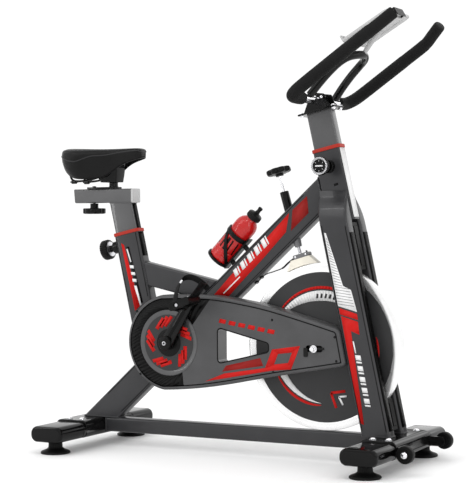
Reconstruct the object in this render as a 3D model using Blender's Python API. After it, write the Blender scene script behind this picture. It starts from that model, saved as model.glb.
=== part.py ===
"""Indoor spin bike: a welded rectangular-tube frame on two cross feet, a chain-driven flywheel between
two front legs, telescoping saddle and handlebar posts, and a screw-down friction brake.

+X is forwards, +Y is the rider's left, +Z is up. The origin is on the floor under the middle of the bike.
Lengths are metres. Welded pieces meet with a small gap, so each piece is a solid of its own.
"""

import math

import bmesh
import bpy
from mathutils import Vector

GAP = 0.0003  # between pieces that touch

# Frame tubes
TUBE_DEPTH = 0.080
TUBE_WIDTH = 0.040
TUBE_WALL = 0.002
TUBE_CORNER = 0.007
POST_LEAN = math.radians(12.5)  # saddle and handlebar tubes lean back
LEG_LEAN = math.radians(12.0)  # front legs rake forwards towards the floor
BEAM_SLOPE = math.radians(41.9)
BEAM_POINT = Vector((0.1115, 0, 0.5960))  # on the beam's centre line
SEAT_TUBE_TOP = Vector((-0.3675, 0, 0.6185))
HEAD_TUBE_TOP = Vector((0.2720, 0, 0.8435))
HEAD_TUBE_LENGTH = 0.198
LEG_POINT = Vector((0.3577, 0, 0.4300))
LEG_TOP_Z = 0.735
LEG_INNER_Y = 0.025
LEG_OUTER_Y = 0.065

# Cross feet
FOOT_SPAN = 0.497
FOOT_WIDTH = 0.105
FOOT_HEIGHT = 0.045
FOOT_Z = 0.0575
REAR_FOOT_X = -0.4936
FRONT_FOOT_X = 0.4600
SADDLE_HALF = 0.120  # half length of the raised bracket on each cross foot
SADDLE_TOP_Z = 0.085
LEVELLER_Y = 0.200
LEVELLER_RADIUS = 0.042

# Drive
CRANK_AXIS = Vector((-0.1950, 0, 0.3135))
CRANK_LENGTH = 0.1355
CRANK_ANGLE = math.radians(55.9)
CRANK_IN_Y = 0.0745
CRANK_OUT_Y = 0.0890
WHEEL_AXIS = Vector((0.2572, 0, 0.3117))
WHEEL_RADIUS = 0.226
WHEEL_HALF = 0.014
CHAIN_Y = -0.0260
CHAINRING_RADIUS = 0.070
SPROCKET_RADIUS = 0.030
COVER_INNER_Y = -0.0203
COVER_OUTER_Y = -0.0700
COVER_WALL = 0.0025
COVER_ROUND = 0.136
COVER_WINDOW = [(-0.036, 0.268), (-0.030, 0.264), (0.060, 0.287), (0.112, 0.301), (0.117, 0.310)]
COVER_WINDOW += [(0.113, 0.322), (0.060, 0.341), (-0.028, 0.357), (-0.036, 0.352)]
PEDAL_TILT = math.radians(21.0)
PEDAL_INNER_Y = 0.0940
PEDAL_OUTER_Y = 0.1600
PEDAL_REAR = -0.0240  # behind and in front of the pedal's axis
PEDAL_FRONT = 0.0440

# Posts, saddle and handlebar
POST_DEPTH = 0.0735
POST_WIDTH = 0.0335
SLIDE_TUBE = (-0.5465, -0.3400, 0.7100, 0.7510)  # rear, front, bottom, top
CARRIAGE_X = -0.4600
STEM_X = -0.4200
SADDLE_PIVOT = Vector((STEM_X, 0, 0.7860))
BAR_CENTRE = Vector((0.2470, 0, 0.9800))
GRIP_RADIUS = 0.0175
BARE_BAR_RADIUS = 0.0125  # the steel bar, in the middle where the clamp holds it
BARE_BAR_HALF = 0.112
HOOP_RADIUS = 0.0110
COLLAR_HEIGHT = 0.0100
SEAT_PIN_DROP = 0.0285  # below the seat tube's top
HEAD_PIN_Z = 0.8000

# Brake, pointing at the flywheel's centre
BRAKE_LEAN = math.radians(16.0)
BRAKE_PAD_R = WHEEL_RADIUS + 0.003
BRAKE_PAD_ANGLE = 12.0  # degrees of the rim to either side of the middle

# Bottle, in its cage on the beam
BOTTLE_SLOPE = math.radians(46.0)
BOTTLE_RADIUS = 0.0320
BOTTLE_FOOT = Vector((-0.0690, 0, 0.5520))

# Transport wheels
CASTER_X = 0.5465
CASTER_Y = 0.1410
CASTER_Z = 0.0570
CASTER_RADIUS = 0.0235

X_AXIS = Vector((1, 0, 0))
Y_AXIS = Vector((0, 1, 0))
Z_AXIS = Vector((0, 0, 1))
POST_UP = Vector((-math.sin(POST_LEAN), 0, math.cos(POST_LEAN)))
POST_FORE = Vector((math.cos(POST_LEAN), 0, math.sin(POST_LEAN)))
BEAM_UP = Vector((math.cos(BEAM_SLOPE), 0, math.sin(BEAM_SLOPE)))
BEAM_OUT = Vector((-math.sin(BEAM_SLOPE), 0, math.cos(BEAM_SLOPE)))
BOTTLE_UP = Vector((math.cos(BOTTLE_SLOPE), 0, math.sin(BOTTLE_SLOPE)))
BOTTLE_OUT = Vector((-math.sin(BOTTLE_SLOPE), 0, math.cos(BOTTLE_SLOPE)))
BRAKE_UP = Vector((-math.sin(BRAKE_LEAN), 0, math.cos(BRAKE_LEAN)))
BRAKE_FORE = Vector((math.cos(BRAKE_LEAN), 0, math.sin(BRAKE_LEAN)))

FINISHES = {
    "charcoal": ((0.10, 0.10, 0.11), 0.30, 0.0),
    "grey": ((0.32, 0.32, 0.34), 0.30, 0.0),
    "black": ((0.012, 0.012, 0.014), 0.45, 0.0),
    "red": ((0.62, 0.02, 0.02), 0.30, 0.0),
    "chrome": ((0.80, 0.80, 0.82), 0.12, 1.0),
    "steel": ((0.55, 0.55, 0.57), 0.35, 1.0),
    "iron": ((0.05, 0.05, 0.055), 0.35, 0.4),
    "foam": ((0.02, 0.02, 0.022), 0.75, 0.0),
    "leather": ((0.025, 0.025, 0.027), 0.50, 0.0),
    "white": ((0.80, 0.80, 0.80), 0.40, 0.0),
    "pad": ((0.75, 0.70, 0.58), 0.90, 0.0),
}

pivots = {}  # moving body: its empty and where that stands
places = {}  # piece: where its origin stands


# ---------------------------------------------------------------- scene and object helpers


def clear_scene():
    for old in list(bpy.data.objects):
        bpy.data.objects.remove(old, do_unlink=True)


def make_pivot(name, place, parent=None):
    """An empty on a moving body's joint axis; the body's pieces hang from it."""
    empty = bpy.data.objects.new(name + "_axis", None)
    bpy.context.scene.collection.objects.link(empty)
    base = pivots[parent][1] if parent else Vector((0, 0, 0))
    if parent:
        empty.parent = pivots[parent][0]
    empty.location = Vector(place) - base
    pivots[name] = (empty, Vector(place))


def make_material(name, finish):
    colour, rough, metal = FINISHES[finish]
    material = bpy.data.materials.new(name)
    material.use_nodes = True
    shader = material.node_tree.nodes["Principled BSDF"]
    shader.inputs["Base Color"].default_value = (*colour, 1)
    shader.inputs["Roughness"].default_value = rough
    shader.inputs["Metallic"].default_value = metal
    return material


def add_piece(name, bm, finish, body=None, sharp=35):
    """Turns a bmesh in world coordinates into a named object, hung from its body's pivot."""
    mesh = bpy.data.meshes.new(name)
    places[name] = pivots[body][1] if body else Vector((0, 0, 0))
    bmesh.ops.translate(bm, verts=bm.verts, vec=-places[name])
    bm.to_mesh(mesh)
    bm.free()
    mesh.shade_smooth()
    mesh.set_sharp_from_angle(angle=math.radians(sharp))
    piece = bpy.data.objects.new(name, mesh)
    bpy.context.scene.collection.objects.link(piece)
    piece.data.materials.append(make_material(name, finish))
    if body:
        piece.parent = pivots[body][0]
    return piece


def combine(piece, bm, how):
    """Cuts a shape in world coordinates out of a piece (DIFFERENCE) or welds it on (UNION)."""
    bmesh.ops.translate(bm, verts=bm.verts, vec=-places[piece.name])
    mesh = bpy.data.meshes.new(piece.name + "_tool")
    bm.to_mesh(mesh)
    bm.free()
    tool = bpy.data.objects.new(piece.name + "_tool", mesh)
    bpy.context.scene.collection.objects.link(tool)
    tool.parent = piece.parent
    tool.hide_render = True
    tool.display_type = "WIRE"
    modifier = piece.modifiers.new(how.lower(), "BOOLEAN")
    modifier.operation = how
    modifier.solver = "EXACT"
    modifier.object = tool


# ---------------------------------------------------------------- shape helpers


def rounded_rectangle(width, depth, corner, steps=2):
    """Points of a rounded rectangle, as (across, along) pairs."""
    corner = min(corner, 0.49 * width, 0.49 * depth)
    points = []
    for quarter in range(4):
        sx = (1, -1, -1, 1)[quarter]
        sy = (1, 1, -1, -1)[quarter]
        for step in range(steps + 1):
            angle = math.radians(90 * quarter + 90 * step / steps)
            x = sx * (width / 2 - corner) + corner * math.cos(angle)
            y = sy * (depth / 2 - corner) + corner * math.sin(angle)
            points.append((x, y))
    return points


def ring(centre, across, along, outline):
    return [Vector(centre) + across * a + along * b for a, b in outline]


def loft(rings, closed=False):
    """A skin over equal rings: capped at both ends, or closed on itself like a tube wall."""
    bm = bmesh.new()
    rows = [[bm.verts.new(point) for point in points] for points in rings]
    pairs = list(zip(rows, rows[1:]))
    if closed:
        pairs.append((rows[-1], rows[0]))
    for first, second in pairs:
        for i in range(len(first)):
            j = (i + 1) % len(first)
            bm.faces.new((first[i], first[j], second[j], second[i]))
    if not closed:
        bm.faces.new(rows[0])
        bm.faces.new(rows[-1])
    bmesh.ops.recalc_face_normals(bm, faces=bm.faces)
    return bm


def box(low, high, corner=0.0, axis=2):
    """A block; with a corner radius, its edges along the given axis are rounded."""
    low, high = Vector(low), Vector(high)
    size, middle = high - low, (low + high) / 2
    units = (X_AXIS, Y_AXIS, Z_AXIS)
    first, second = (axis + 1) % 3, (axis + 2) % 3
    if corner:
        outline = rounded_rectangle(size[first], size[second], corner)
    else:
        w, d = size[first] / 2, size[second] / 2
        outline = [(w, d), (-w, d), (-w, -d), (w, -d)]
    ends = []
    for end in (-1, 1):
        centre = middle + units[axis] * (end * size[axis] / 2)
        ends.append(ring(centre, units[first], units[second], outline))
    return loft(ends)


def slanted_box(centre, fore, up, length, width, height, corner=0.0):
    """A block whose length runs along fore, its width along Y and its height along up."""
    outline = [(length / 2, height / 2), (-length / 2, height / 2)]
    outline += [(-length / 2, -height / 2), (length / 2, -height / 2)]
    if corner:
        outline = rounded_rectangle(length, height, corner)
    ends = [ring(Vector(centre) + Y_AXIS * (s * width / 2), fore, up, outline) for s in (-1, 1)]
    return loft(ends)


def plate_xz(outline, y_from, y_to):
    """An outline of (x, z) points, extruded along Y."""
    return loft([[Vector((x, y, z)) for x, z in outline] for y in (y_from, y_to)])


def on_plane(start, direction, plane_point, normal):
    return start + direction * ((plane_point - start).dot(normal) / direction.dot(normal))


def square_tube(start, end, width, depth, corner, wall, start_cut=None, end_cut=None):
    """A hollow rectangular tube, open at both ends, each end cut square or on a (point, normal) plane."""
    direction = (end - start).normalized()
    along = direction.cross(Y_AXIS)
    cuts = ((start, start_cut), (end, end_cut))
    rings = []
    for inset, order in ((0, cuts), (wall, tuple(reversed(cuts)))):
        outline = rounded_rectangle(width - 2 * inset, depth - 2 * inset, corner - inset * 0.6)
        for centre, cut in order:
            points = ring(centre, Y_AXIS, along, outline)
            if cut:
                points = [on_plane(p, direction, cut[0], cut[1]) for p in points]
            rings.append(points)
    return loft(rings, closed=True)


def turned(profile, centre, axis, sides=20):
    """A solid of revolution from (radius, distance along axis) pairs, closed with flat ends."""
    axis = Vector(axis).normalized()
    across = axis.orthogonal().normalized()
    other = axis.cross(across)
    rings = []
    for radius, height in profile:
        turn = [2 * math.pi * i / sides for i in range(sides)]
        outline = [(radius * math.cos(t), radius * math.sin(t)) for t in turn]
        rings.append(ring(Vector(centre) + axis * height, across, other, outline))
    return loft(rings)


def turned_ring(profile, centre, axis, sides=20):
    """A ring of revolution whose (radius, height) profile is a closed loop."""
    axis = Vector(axis).normalized()
    across = axis.orthogonal().normalized()
    other = axis.cross(across)
    rings = []
    for radius, height in profile:
        turn = [2 * math.pi * i / sides for i in range(sides)]
        outline = [(radius * math.cos(t), radius * math.sin(t)) for t in turn]
        rings.append(ring(Vector(centre) + axis * height, across, other, outline))
    return loft(rings, closed=True)


def smooth_path(points, steps):
    """Catmull-Rom points through a route."""
    points = [Vector(p) for p in points]
    padded = [2 * points[0] - points[1]] + points + [2 * points[-1] - points[-2]]
    path = []
    for a, b, c, d in zip(padded, padded[1:], padded[2:], padded[3:]):
        square = 2 * a - 5 * b + 4 * c - d
        cube = 3 * b - a - 3 * c + d
        for i in range(steps):
            t = i / steps
            path.append(0.5 * (2 * b + (c - a) * t + square * t * t + cube * t**3))
    return path + [points[-1]]


def strap(path, across, outline):
    """A constant (across, through) outline swept along a path, keeping its width near one direction."""
    rings = []
    for i, point in enumerate(path):
        ahead = (path[min(i + 1, len(path) - 1)] - path[max(i - 1, 0)]).normalized()
        wide = (across - ahead * across.dot(ahead)).normalized()
        rings.append(ring(point, wide, ahead.cross(wide), outline))
    return loft(rings)


def round_tube(path, radius, sides=12):
    """A round bar along a path, turning its section as little as possible.

    The radius is one number, or one for each point of the path.
    """
    radii = radius if isinstance(radius, list) else [radius] * len(path)
    rings = []
    across = None
    for i, point in enumerate(path):
        ahead = (path[min(i + 1, len(path) - 1)] - path[max(i - 1, 0)]).normalized()
        if across is None:
            across = ahead.orthogonal().normalized()
        across = (across - ahead * across.dot(ahead)).normalized()
        other = ahead.cross(across)
        turn = [2 * math.pi * k / sides for k in range(sides)]
        outline = [(radii[i] * math.cos(t), radii[i] * math.sin(t)) for t in turn]
        rings.append(ring(point, across, other, outline))
    return loft(rings)


def offset_outline(outline, distance):
    """Moves each point of a closed anticlockwise (x, z) outline inwards by a distance."""
    moved = []
    for i, (x, z) in enumerate(outline):
        before = outline[i - 1]
        after = outline[(i + 1) % len(outline)]
        tangent = Vector((after[0] - before[0], after[1] - before[1])).normalized()
        moved.append((x - tangent.y * distance, z + tangent.x * distance))
    return moved


def cylinder(centre, axis, radius, half_length, sides=20):
    return turned([(radius, -half_length), (radius, half_length)], centre, axis, sides)


# ---------------------------------------------------------------- frame


def beam_top_plane(gap=GAP):
    return (BEAM_POINT + BEAM_OUT * (TUBE_DEPTH / 2 + gap), BEAM_OUT)


def head_axis_at(z):
    return HEAD_TUBE_TOP + POST_UP * ((z - HEAD_TUBE_TOP.z) / POST_UP.z)


def brake_point(radius):
    return WHEEL_AXIS + BRAKE_UP * radius


def build_main_beam():
    lower_cut = (Vector((0, 0, SADDLE_TOP_Z + GAP)), Z_AXIS)
    rear_face = HEAD_TUBE_TOP - POST_FORE * (TUBE_DEPTH / 2 + GAP)
    low = BEAM_POINT - BEAM_UP * 0.75
    high = BEAM_POINT + BEAM_UP * 0.2
    tube = square_tube(
        low, high, TUBE_WIDTH, TUBE_DEPTH, TUBE_CORNER, TUBE_WALL, lower_cut, (rear_face, POST_FORE)
    )
    beam = add_piece("main_beam", tube, "charcoal")
    combine(beam, cylinder(CRANK_AXIS, Y_AXIS, 0.0203, 0.05), "DIFFERENCE")
    combine(beam, cylinder(brake_point(0.341), BRAKE_UP, 0.0128, 0.07, 20), "DIFFERENCE")


def build_head_tube():
    low = HEAD_TUBE_TOP - POST_UP * HEAD_TUBE_LENGTH
    tube = square_tube(low, HEAD_TUBE_TOP, TUBE_WIDTH, TUBE_DEPTH, TUBE_CORNER, TUBE_WALL)
    head = add_piece("head_tube", tube, "charcoal")
    pin_hole = cylinder(head_axis_at(HEAD_PIN_Z) - Y_AXIS * 0.02, Y_AXIS, 0.0083, 0.01, 16)
    combine(head, pin_hole, "DIFFERENCE")


def build_seat_tube():
    low = SEAT_TUBE_TOP - POST_UP * 0.25
    tube = square_tube(
        low, SEAT_TUBE_TOP, TUBE_WIDTH, TUBE_DEPTH, TUBE_CORNER, TUBE_WALL, beam_top_plane(), None
    )
    seat = add_piece("seat_tube", tube, "charcoal")
    combine(seat, cylinder(seat_pin_point(), POST_FORE, 0.0083, 0.012, 16), "DIFFERENCE")


def seat_pin_point():
    """On the seat tube's rear face, where the saddle height pin goes in."""
    return SEAT_TUBE_TOP - POST_UP * SEAT_PIN_DROP - POST_FORE * (TUBE_DEPTH / 2)


def build_seat_brace():
    """The strut from the seat tube's front face down to the beam."""
    depth = 0.065
    slope = Vector((0.2332, 0, -0.0515)).normalized()
    below = Vector((slope.z, 0, -slope.x))
    start = Vector((-0.3023, 0, 0.5386)) + below * (depth / 2) - slope * 0.03
    rear_cut = (SEAT_TUBE_TOP + POST_FORE * (TUBE_DEPTH / 2 + GAP), POST_FORE)
    width = TUBE_WIDTH - 0.002
    tube = square_tube(
        start, start + slope * 0.30, width, depth, TUBE_CORNER, TUBE_WALL, rear_cut, beam_top_plane()
    )
    add_piece("seat_brace", tube, "charcoal")


def leg_x(z):
    return LEG_POINT.x + (LEG_POINT.z - z) * math.tan(LEG_LEAN)


def leg_ring(z, side, outer, inner, wall=0.0):
    """A level section of a leg, drawn in by the wall's thickness for the inside of the tube."""
    depth = TUBE_DEPTH / math.cos(LEG_LEAN) - 2 * wall
    centre = Vector((leg_x(z), side * (outer + inner) / 2, z))
    outline = rounded_rectangle(outer - inner - 2 * wall, depth, TUBE_CORNER)
    return ring(centre, Y_AXIS * side, X_AXIS, outline)


def build_leg(name, side):
    """A front leg: its top is mitred onto the head tube's side, then it bows out and runs down straight."""
    # height, outer |y|, inner |y|
    stations = [
        (SADDLE_TOP_Z + GAP, LEG_OUTER_Y, LEG_INNER_Y),
        (0.630, LEG_OUTER_Y, LEG_INNER_Y),
        (0.646, 0.0643, LEG_INNER_Y - 0.0003),
        (0.662, 0.0622, 0.0203),
        (0.680, 0.0562, 0.0203),
        (0.698, 0.0455, 0.0203),
        (0.716, 0.0325, 0.0203),
        (LEG_TOP_Z, 0.0232, 0.0203),
    ]
    wall = TUBE_WALL
    rings = [leg_ring(0.60, side, LEG_OUTER_Y, LEG_INNER_Y, wall)]
    rings.append(leg_ring(SADDLE_TOP_Z + GAP, side, LEG_OUTER_Y, LEG_INNER_Y, wall))
    rings += [leg_ring(z, side, outer, inner) for z, outer, inner in stations]
    add_piece(name, loft(rings), "charcoal")


def build_leg_panels():
    """Sheet-metal panels that close the front between the legs, above and below the flywheel."""
    fall = Vector((math.sin(LEG_LEAN), 0, -math.cos(LEG_LEAN)))
    fore = Vector((math.cos(LEG_LEAN), 0, math.sin(LEG_LEAN)))
    recess = TUBE_DEPTH / 2 - 0.0075
    for name, low, high in (("upper_leg_panel", 0.516, 0.643), ("lower_leg_panel", 0.092, 0.174)):
        middle = (low + high) / 2
        centre = Vector((leg_x(middle), 0, middle)) + fore * recess
        length = (high - low) / math.cos(LEG_LEAN)
        sheet = slanted_box(centre, fall, fore, length, 2 * LEG_INNER_Y - 0.0030, 0.003)
        add_piece(name, sheet, "black")


def build_base_tube():
    rear = REAR_FOOT_X + FOOT_WIDTH / 2 + GAP
    front = FRONT_FOOT_X - FOOT_WIDTH / 2 - GAP
    middle = 0.0635
    tube = square_tube(
        Vector((rear, 0, middle)), Vector((front, 0, middle)), TUBE_WIDTH, 0.042, TUBE_CORNER, TUBE_WALL
    )
    add_piece("base_tube", tube, "charcoal")


def build_cross_foot(name, x):
    """A flat-oval cross tube with the raised bracket at its middle that the frame stands on."""
    core = rounded_rectangle(FOOT_WIDTH - 0.008, FOOT_HEIGHT - 0.008, 0.017, 3)
    thick = rounded_rectangle(FOOT_WIDTH, SADDLE_TOP_Z - 0.035, 0.016, 3)
    core_z = FOOT_Z
    thick_z = (SADDLE_TOP_Z + 0.035) / 2
    rings = []
    for y, outline, z in (
        (-0.234, core, core_z),
        (-SADDLE_HALF, core, core_z),
        (-SADDLE_HALF, thick, thick_z),
        (SADDLE_HALF, thick, thick_z),
        (SADDLE_HALF, core, core_z),
        (0.234, core, core_z),
    ):
        rings.append(ring((x, y, z), X_AXIS, Z_AXIS, outline))
    return add_piece(name, loft(rings), "black")


def build_foot_cap(name, x, side):
    """A moulded sleeve with a closed, rounded end, pushed over the cross tube."""
    outer = rounded_rectangle(FOOT_WIDTH, FOOT_HEIGHT, 0.019, 3)
    small = rounded_rectangle(FOOT_WIDTH - 0.012, FOOT_HEIGHT - 0.012, 0.015, 3)
    inner = rounded_rectangle(FOOT_WIDTH - 0.0074, FOOT_HEIGHT - 0.0074, 0.0173, 3)
    end = FOOT_SPAN / 2
    rings = []
    for y, outline in (
        (0.2345, inner),
        (SADDLE_HALF + GAP, inner),
        (SADDLE_HALF + GAP, outer),
        (end - 0.005, outer),
        (end, small),
    ):
        rings.append(ring((x, side * y, FOOT_Z), X_AXIS, Z_AXIS, outline))
    add_piece(name, loft(rings), "black")


def build_leveller(name, x, side):
    centre = Vector((x, side * LEVELLER_Y, 0))
    make_pivot(name, centre)
    profile = [
        (LEVELLER_RADIUS - 0.002, 0.0),
        (LEVELLER_RADIUS, 0.002),
        (LEVELLER_RADIUS - 0.001, 0.006),
        (0.030, 0.011),
        (0.021, 0.015),
        (0.019, FOOT_Z - FOOT_HEIGHT / 2 - GAP),
    ]
    add_piece(name, turned(profile, centre, Z_AXIS, 20), "black", name)


def build_transport_wheels(front_foot):
    """Wheels on a pin and ear each, welded to the front cross foot."""
    wall_x = FRONT_FOOT_X + FOOT_WIDTH / 2
    for name, side in (("right_transport_wheel", -1), ("left_transport_wheel", 1)):
        centre = Vector((CASTER_X, side * CASTER_Y, CASTER_Z))
        make_pivot(name, centre)
        half = 0.0100
        rim = CASTER_RADIUS
        profile = [
            (0.0043, -half),
            (rim - 0.003, -half),
            (rim, -half + 0.003),
            (rim, half - 0.003),
            (rim - 0.003, half),
            (0.0043, half),
        ]
        add_piece(name, turned_ring(profile, centre, Y_AXIS, 20), "black", name)
        ear_y = side * (SADDLE_HALF - 0.0050)
        ear = slanted_box((wall_x + 0.018, ear_y, CASTER_Z), X_AXIS, Z_AXIS, 0.052, 0.005, 0.026, 0.009)
        combine(front_foot, ear, "UNION")
        pin = [(0.0070, -half - 0.0165), (0.0070, -half - 0.0005), (0.0040, -half - 0.0005)]
        pin += [(0.0040, half + 0.0006), (0.0085, half + 0.0006)]
        pin += [(0.0085, half + 0.004), (0.0060, half + 0.0055)]
        combine(front_foot, turned(pin, centre, Y_AXIS * side, 16), "UNION")


# ---------------------------------------------------------------- drive


def cover_outline():
    """The chain cover's edge, anticlockwise: a round end about the crank, narrowing to the front leg."""
    outline = []
    for step in range(11):
        angle = math.radians(100 + step * (262 - 100) / 10)
        outline.append(
            (
                CRANK_AXIS.x + COVER_ROUND * math.cos(angle),
                CRANK_AXIS.z + COVER_ROUND * math.sin(angle),
            )
        )
    lower = [(-0.200, 0.1790), (-0.110, 0.1875), (-0.015, 0.2020), (0.138, 0.2320), (0.300, 0.2600)]
    upper = [(0.300, 0.3745), (0.140, 0.4165), (0.045, 0.4350), (-0.060, 0.4480), (-0.190, 0.4495)]
    for route in (lower, upper):
        points = smooth_path([(x, 0, z) for x, z in route], 2)
        outline += [(p.x, p.z) for p in points[1:-1]]
        if route is lower:
            outline += [(0.3400, 0.2672), (0.3470, 0.2740), (0.3310, 0.3560), (0.3230, 0.3660)]
    return outline


def build_chain_cover():
    outline = cover_outline()
    inner_edge = offset_outline(outline, COVER_WALL + 0.0005)
    back = plate_xz(inner_edge, COVER_INNER_Y, COVER_INNER_Y - 0.0015)
    plate = add_piece("inner_chain_cover", back, "black")
    combine(plate, cylinder(CRANK_AXIS, Y_AXIS, 0.0206, 0.05), "DIFFERENCE")
    combine(plate, cylinder(WHEEL_AXIS, Y_AXIS, 0.022, 0.05), "DIFFERENCE")
    combine(plate, plate_xz(COVER_WINDOW, COVER_INNER_Y - 0.01, COVER_INNER_Y + 0.01), "DIFFERENCE")

    wall_in = offset_outline(outline, COVER_WALL)
    rounded = offset_outline(outline, 0.0015)
    small = offset_outline(outline, 0.005)
    small_in = offset_outline(outline, COVER_WALL + 0.003)
    open_y = COVER_INNER_Y - 0.0018
    stations = [
        (COVER_OUTER_Y + COVER_WALL, small_in),
        (COVER_OUTER_Y + COVER_WALL + 0.003, wall_in),
        (open_y, wall_in),
        (open_y, outline),
        (COVER_OUTER_Y + 0.005, outline),
        (COVER_OUTER_Y + 0.0015, rounded),
        (COVER_OUTER_Y, small),
    ]
    rings = [[Vector((x, y, z)) for x, z in edge] for y, edge in stations]
    cover = add_piece("outer_chain_cover", loft(rings), "charcoal")
    middle = Vector((0, COVER_OUTER_Y, 0))
    combine(cover, cylinder(CRANK_AXIS + middle, Y_AXIS, 0.012, 0.02), "DIFFERENCE")
    combine(cover, plate_xz(COVER_WINDOW, COVER_OUTER_Y - 0.01, COVER_OUTER_Y + 0.01), "DIFFERENCE")
    slot = slanted_box(WHEEL_AXIS + middle, X_AXIS, Z_AXIS, 0.050, 0.02, 0.018, 0.007)
    combine(cover, slot, "DIFFERENCE")
    passage = box((0.3150, -0.0424, 0.2884), (0.3600, -0.0200, 0.3346))
    combine(cover, passage, "DIFFERENCE")


def build_bottom_bracket():
    profile = [(0.0083, -0.0222), (0.0200, -0.0222), (0.0200, 0.0340), (0.0083, 0.0340)]
    add_piece("bottom_bracket", turned_ring(profile, CRANK_AXIS, Y_AXIS, 20), "steel")


def chain_loop(radius_gap):
    """Points round both sprockets at a distance outside their teeth."""
    big = CHAINRING_RADIUS + radius_gap
    small = SPROCKET_RADIUS + radius_gap
    reach = (WHEEL_AXIS - CRANK_AXIS).length
    lean = math.asin((big - small) / reach)
    points = []
    for centre, radius, first, last in (
        (CRANK_AXIS, big, math.pi / 2 - lean, 3 * math.pi / 2 + lean),
        (WHEEL_AXIS, small, -math.pi / 2 + lean, math.pi / 2 - lean),
    ):
        steps = 10
        for i in range(steps + 1):
            angle = first + (last - first) * i / steps
            points.append(centre + Vector((math.cos(angle), 0, math.sin(angle))) * radius)
    return points


def build_chain():
    inner = chain_loop(0.0020)
    outer = chain_loop(0.0085)
    rings = []
    for y, points in ((-0.003, inner), (-0.003, outer), (0.003, outer), (0.003, inner)):
        rings.append([p + Y_AXIS * (CHAIN_Y + y) for p in points])
    add_piece("drive_chain", loft(rings, closed=True), "steel")


def build_crankset():
    make_pivot("crankset", CRANK_AXIS)
    ring_in, ring_out = CHAIN_Y + 0.0015, CHAIN_Y - 0.0015
    profile = [
        (0.0080, CRANK_IN_Y - GAP),
        (0.0080, ring_in + 0.0015),
        (0.0300, ring_in + 0.0015),
        (0.0300, ring_in),
        (CHAINRING_RADIUS, ring_in),
        (CHAINRING_RADIUS, ring_out),
        (0.0100, ring_out),
        (0.0100, -CRANK_IN_Y + GAP),
    ]
    add_piece("chainring_and_spindle", turned(profile, CRANK_AXIS, Y_AXIS, 28), "steel", "crankset")
    for name, side in (("right_crank", -1), ("left_crank", 1)):
        angle = CRANK_ANGLE if side < 0 else CRANK_ANGLE + math.pi
        out = Vector((math.cos(angle), 0, math.sin(angle)))
        square = Vector((-out.z, 0, out.x))
        rings = []
        steps = 8
        end = CRANK_AXIS + out * CRANK_LENGTH
        for y in (CRANK_IN_Y, CRANK_OUT_Y):
            points = []
            for centre, radius, first in ((CRANK_AXIS, 0.0190, 90), (end, 0.0130, -90)):
                for i in range(steps + 1):
                    turn = math.radians(first + 180 * i / steps)
                    reach = out * math.cos(turn) + square * math.sin(turn)
                    points.append(centre + reach * radius + Y_AXIS * (side * y))
            rings.append(points)
        arm = add_piece(name, loft(rings), "black", "crankset")
        hub = [(0.0200, CRANK_OUT_Y - 0.001), (0.0200, 0.094), (0.0160, 0.097)]
        combine(arm, turned(hub, CRANK_AXIS, Y_AXIS * side), "UNION")
        pin = [(0.0060, CRANK_OUT_Y - 0.002), (0.0060, PEDAL_OUTER_Y - 0.007)]
        pin += [(0.0045, PEDAL_OUTER_Y - 0.003)]
        combine(arm, turned(pin, end, Y_AXIS * side, 16), "UNION")
        build_pedal(side, end)


def build_pedal(side, end):
    """A platform pedal that spins on the crank's pin, with a toe clip in front and a strap over the foot."""
    body = ("right" if side < 0 else "left") + "_pedal"
    make_pivot(body, end, "crankset")
    fore = Vector((math.cos(PEDAL_TILT), 0, math.sin(PEDAL_TILT)))
    up = Vector((-math.sin(PEDAL_TILT), 0, math.cos(PEDAL_TILT)))
    width = PEDAL_OUTER_Y - PEDAL_INNER_Y
    height = 0.022
    middle = end + Y_AXIS * (side * (PEDAL_INNER_Y + PEDAL_OUTER_Y) / 2)
    centre = middle + fore * ((PEDAL_REAR + PEDAL_FRONT) / 2)
    block = slanted_box(centre, fore, up, PEDAL_FRONT - PEDAL_REAR, width, height, 0.006)
    pedal = add_piece(body, block, "black", body)
    combine(pedal, cylinder(middle, Y_AXIS, 0.0066, width, 20), "DIFFERENCE")
    for forward, length in ((-0.0145, 0.011), (0.0240, 0.026)):
        hole = slanted_box(middle + fore * forward, fore, up, length, width - 0.018, 0.05)
        combine(pedal, hole, "DIFFERENCE")
    clip_slope = (fore + up * 0.35).normalized()
    clip_up = (up - fore * 0.35).normalized()
    clip = middle + fore * 0.0590 + up * 0.0080
    combine(pedal, slanted_box(clip, clip_slope, clip_up, 0.044, 0.050, 0.004, 0.001), "UNION")
    steps = 14
    start = end + Y_AXIS * (side * 0.1570) + fore * 0.002
    finish = end + Y_AXIS * (side * 0.1050) + fore * 0.0740
    across = (fore * 0.35 + up * 0.2).normalized()
    route = []
    for i in range(steps + 1):
        share = i / steps
        rise = up * (0.0090 + 0.0050 * share + 0.0520 * math.sin(math.pi * share) ** 0.75)
        route.append(start.lerp(finish, share) + rise)
    outline = [(0.0085, 0.0011), (-0.0085, 0.0011), (-0.0085, -0.0011), (0.0085, -0.0011)]
    combine(pedal, strap(route, across, outline), "UNION")


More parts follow.
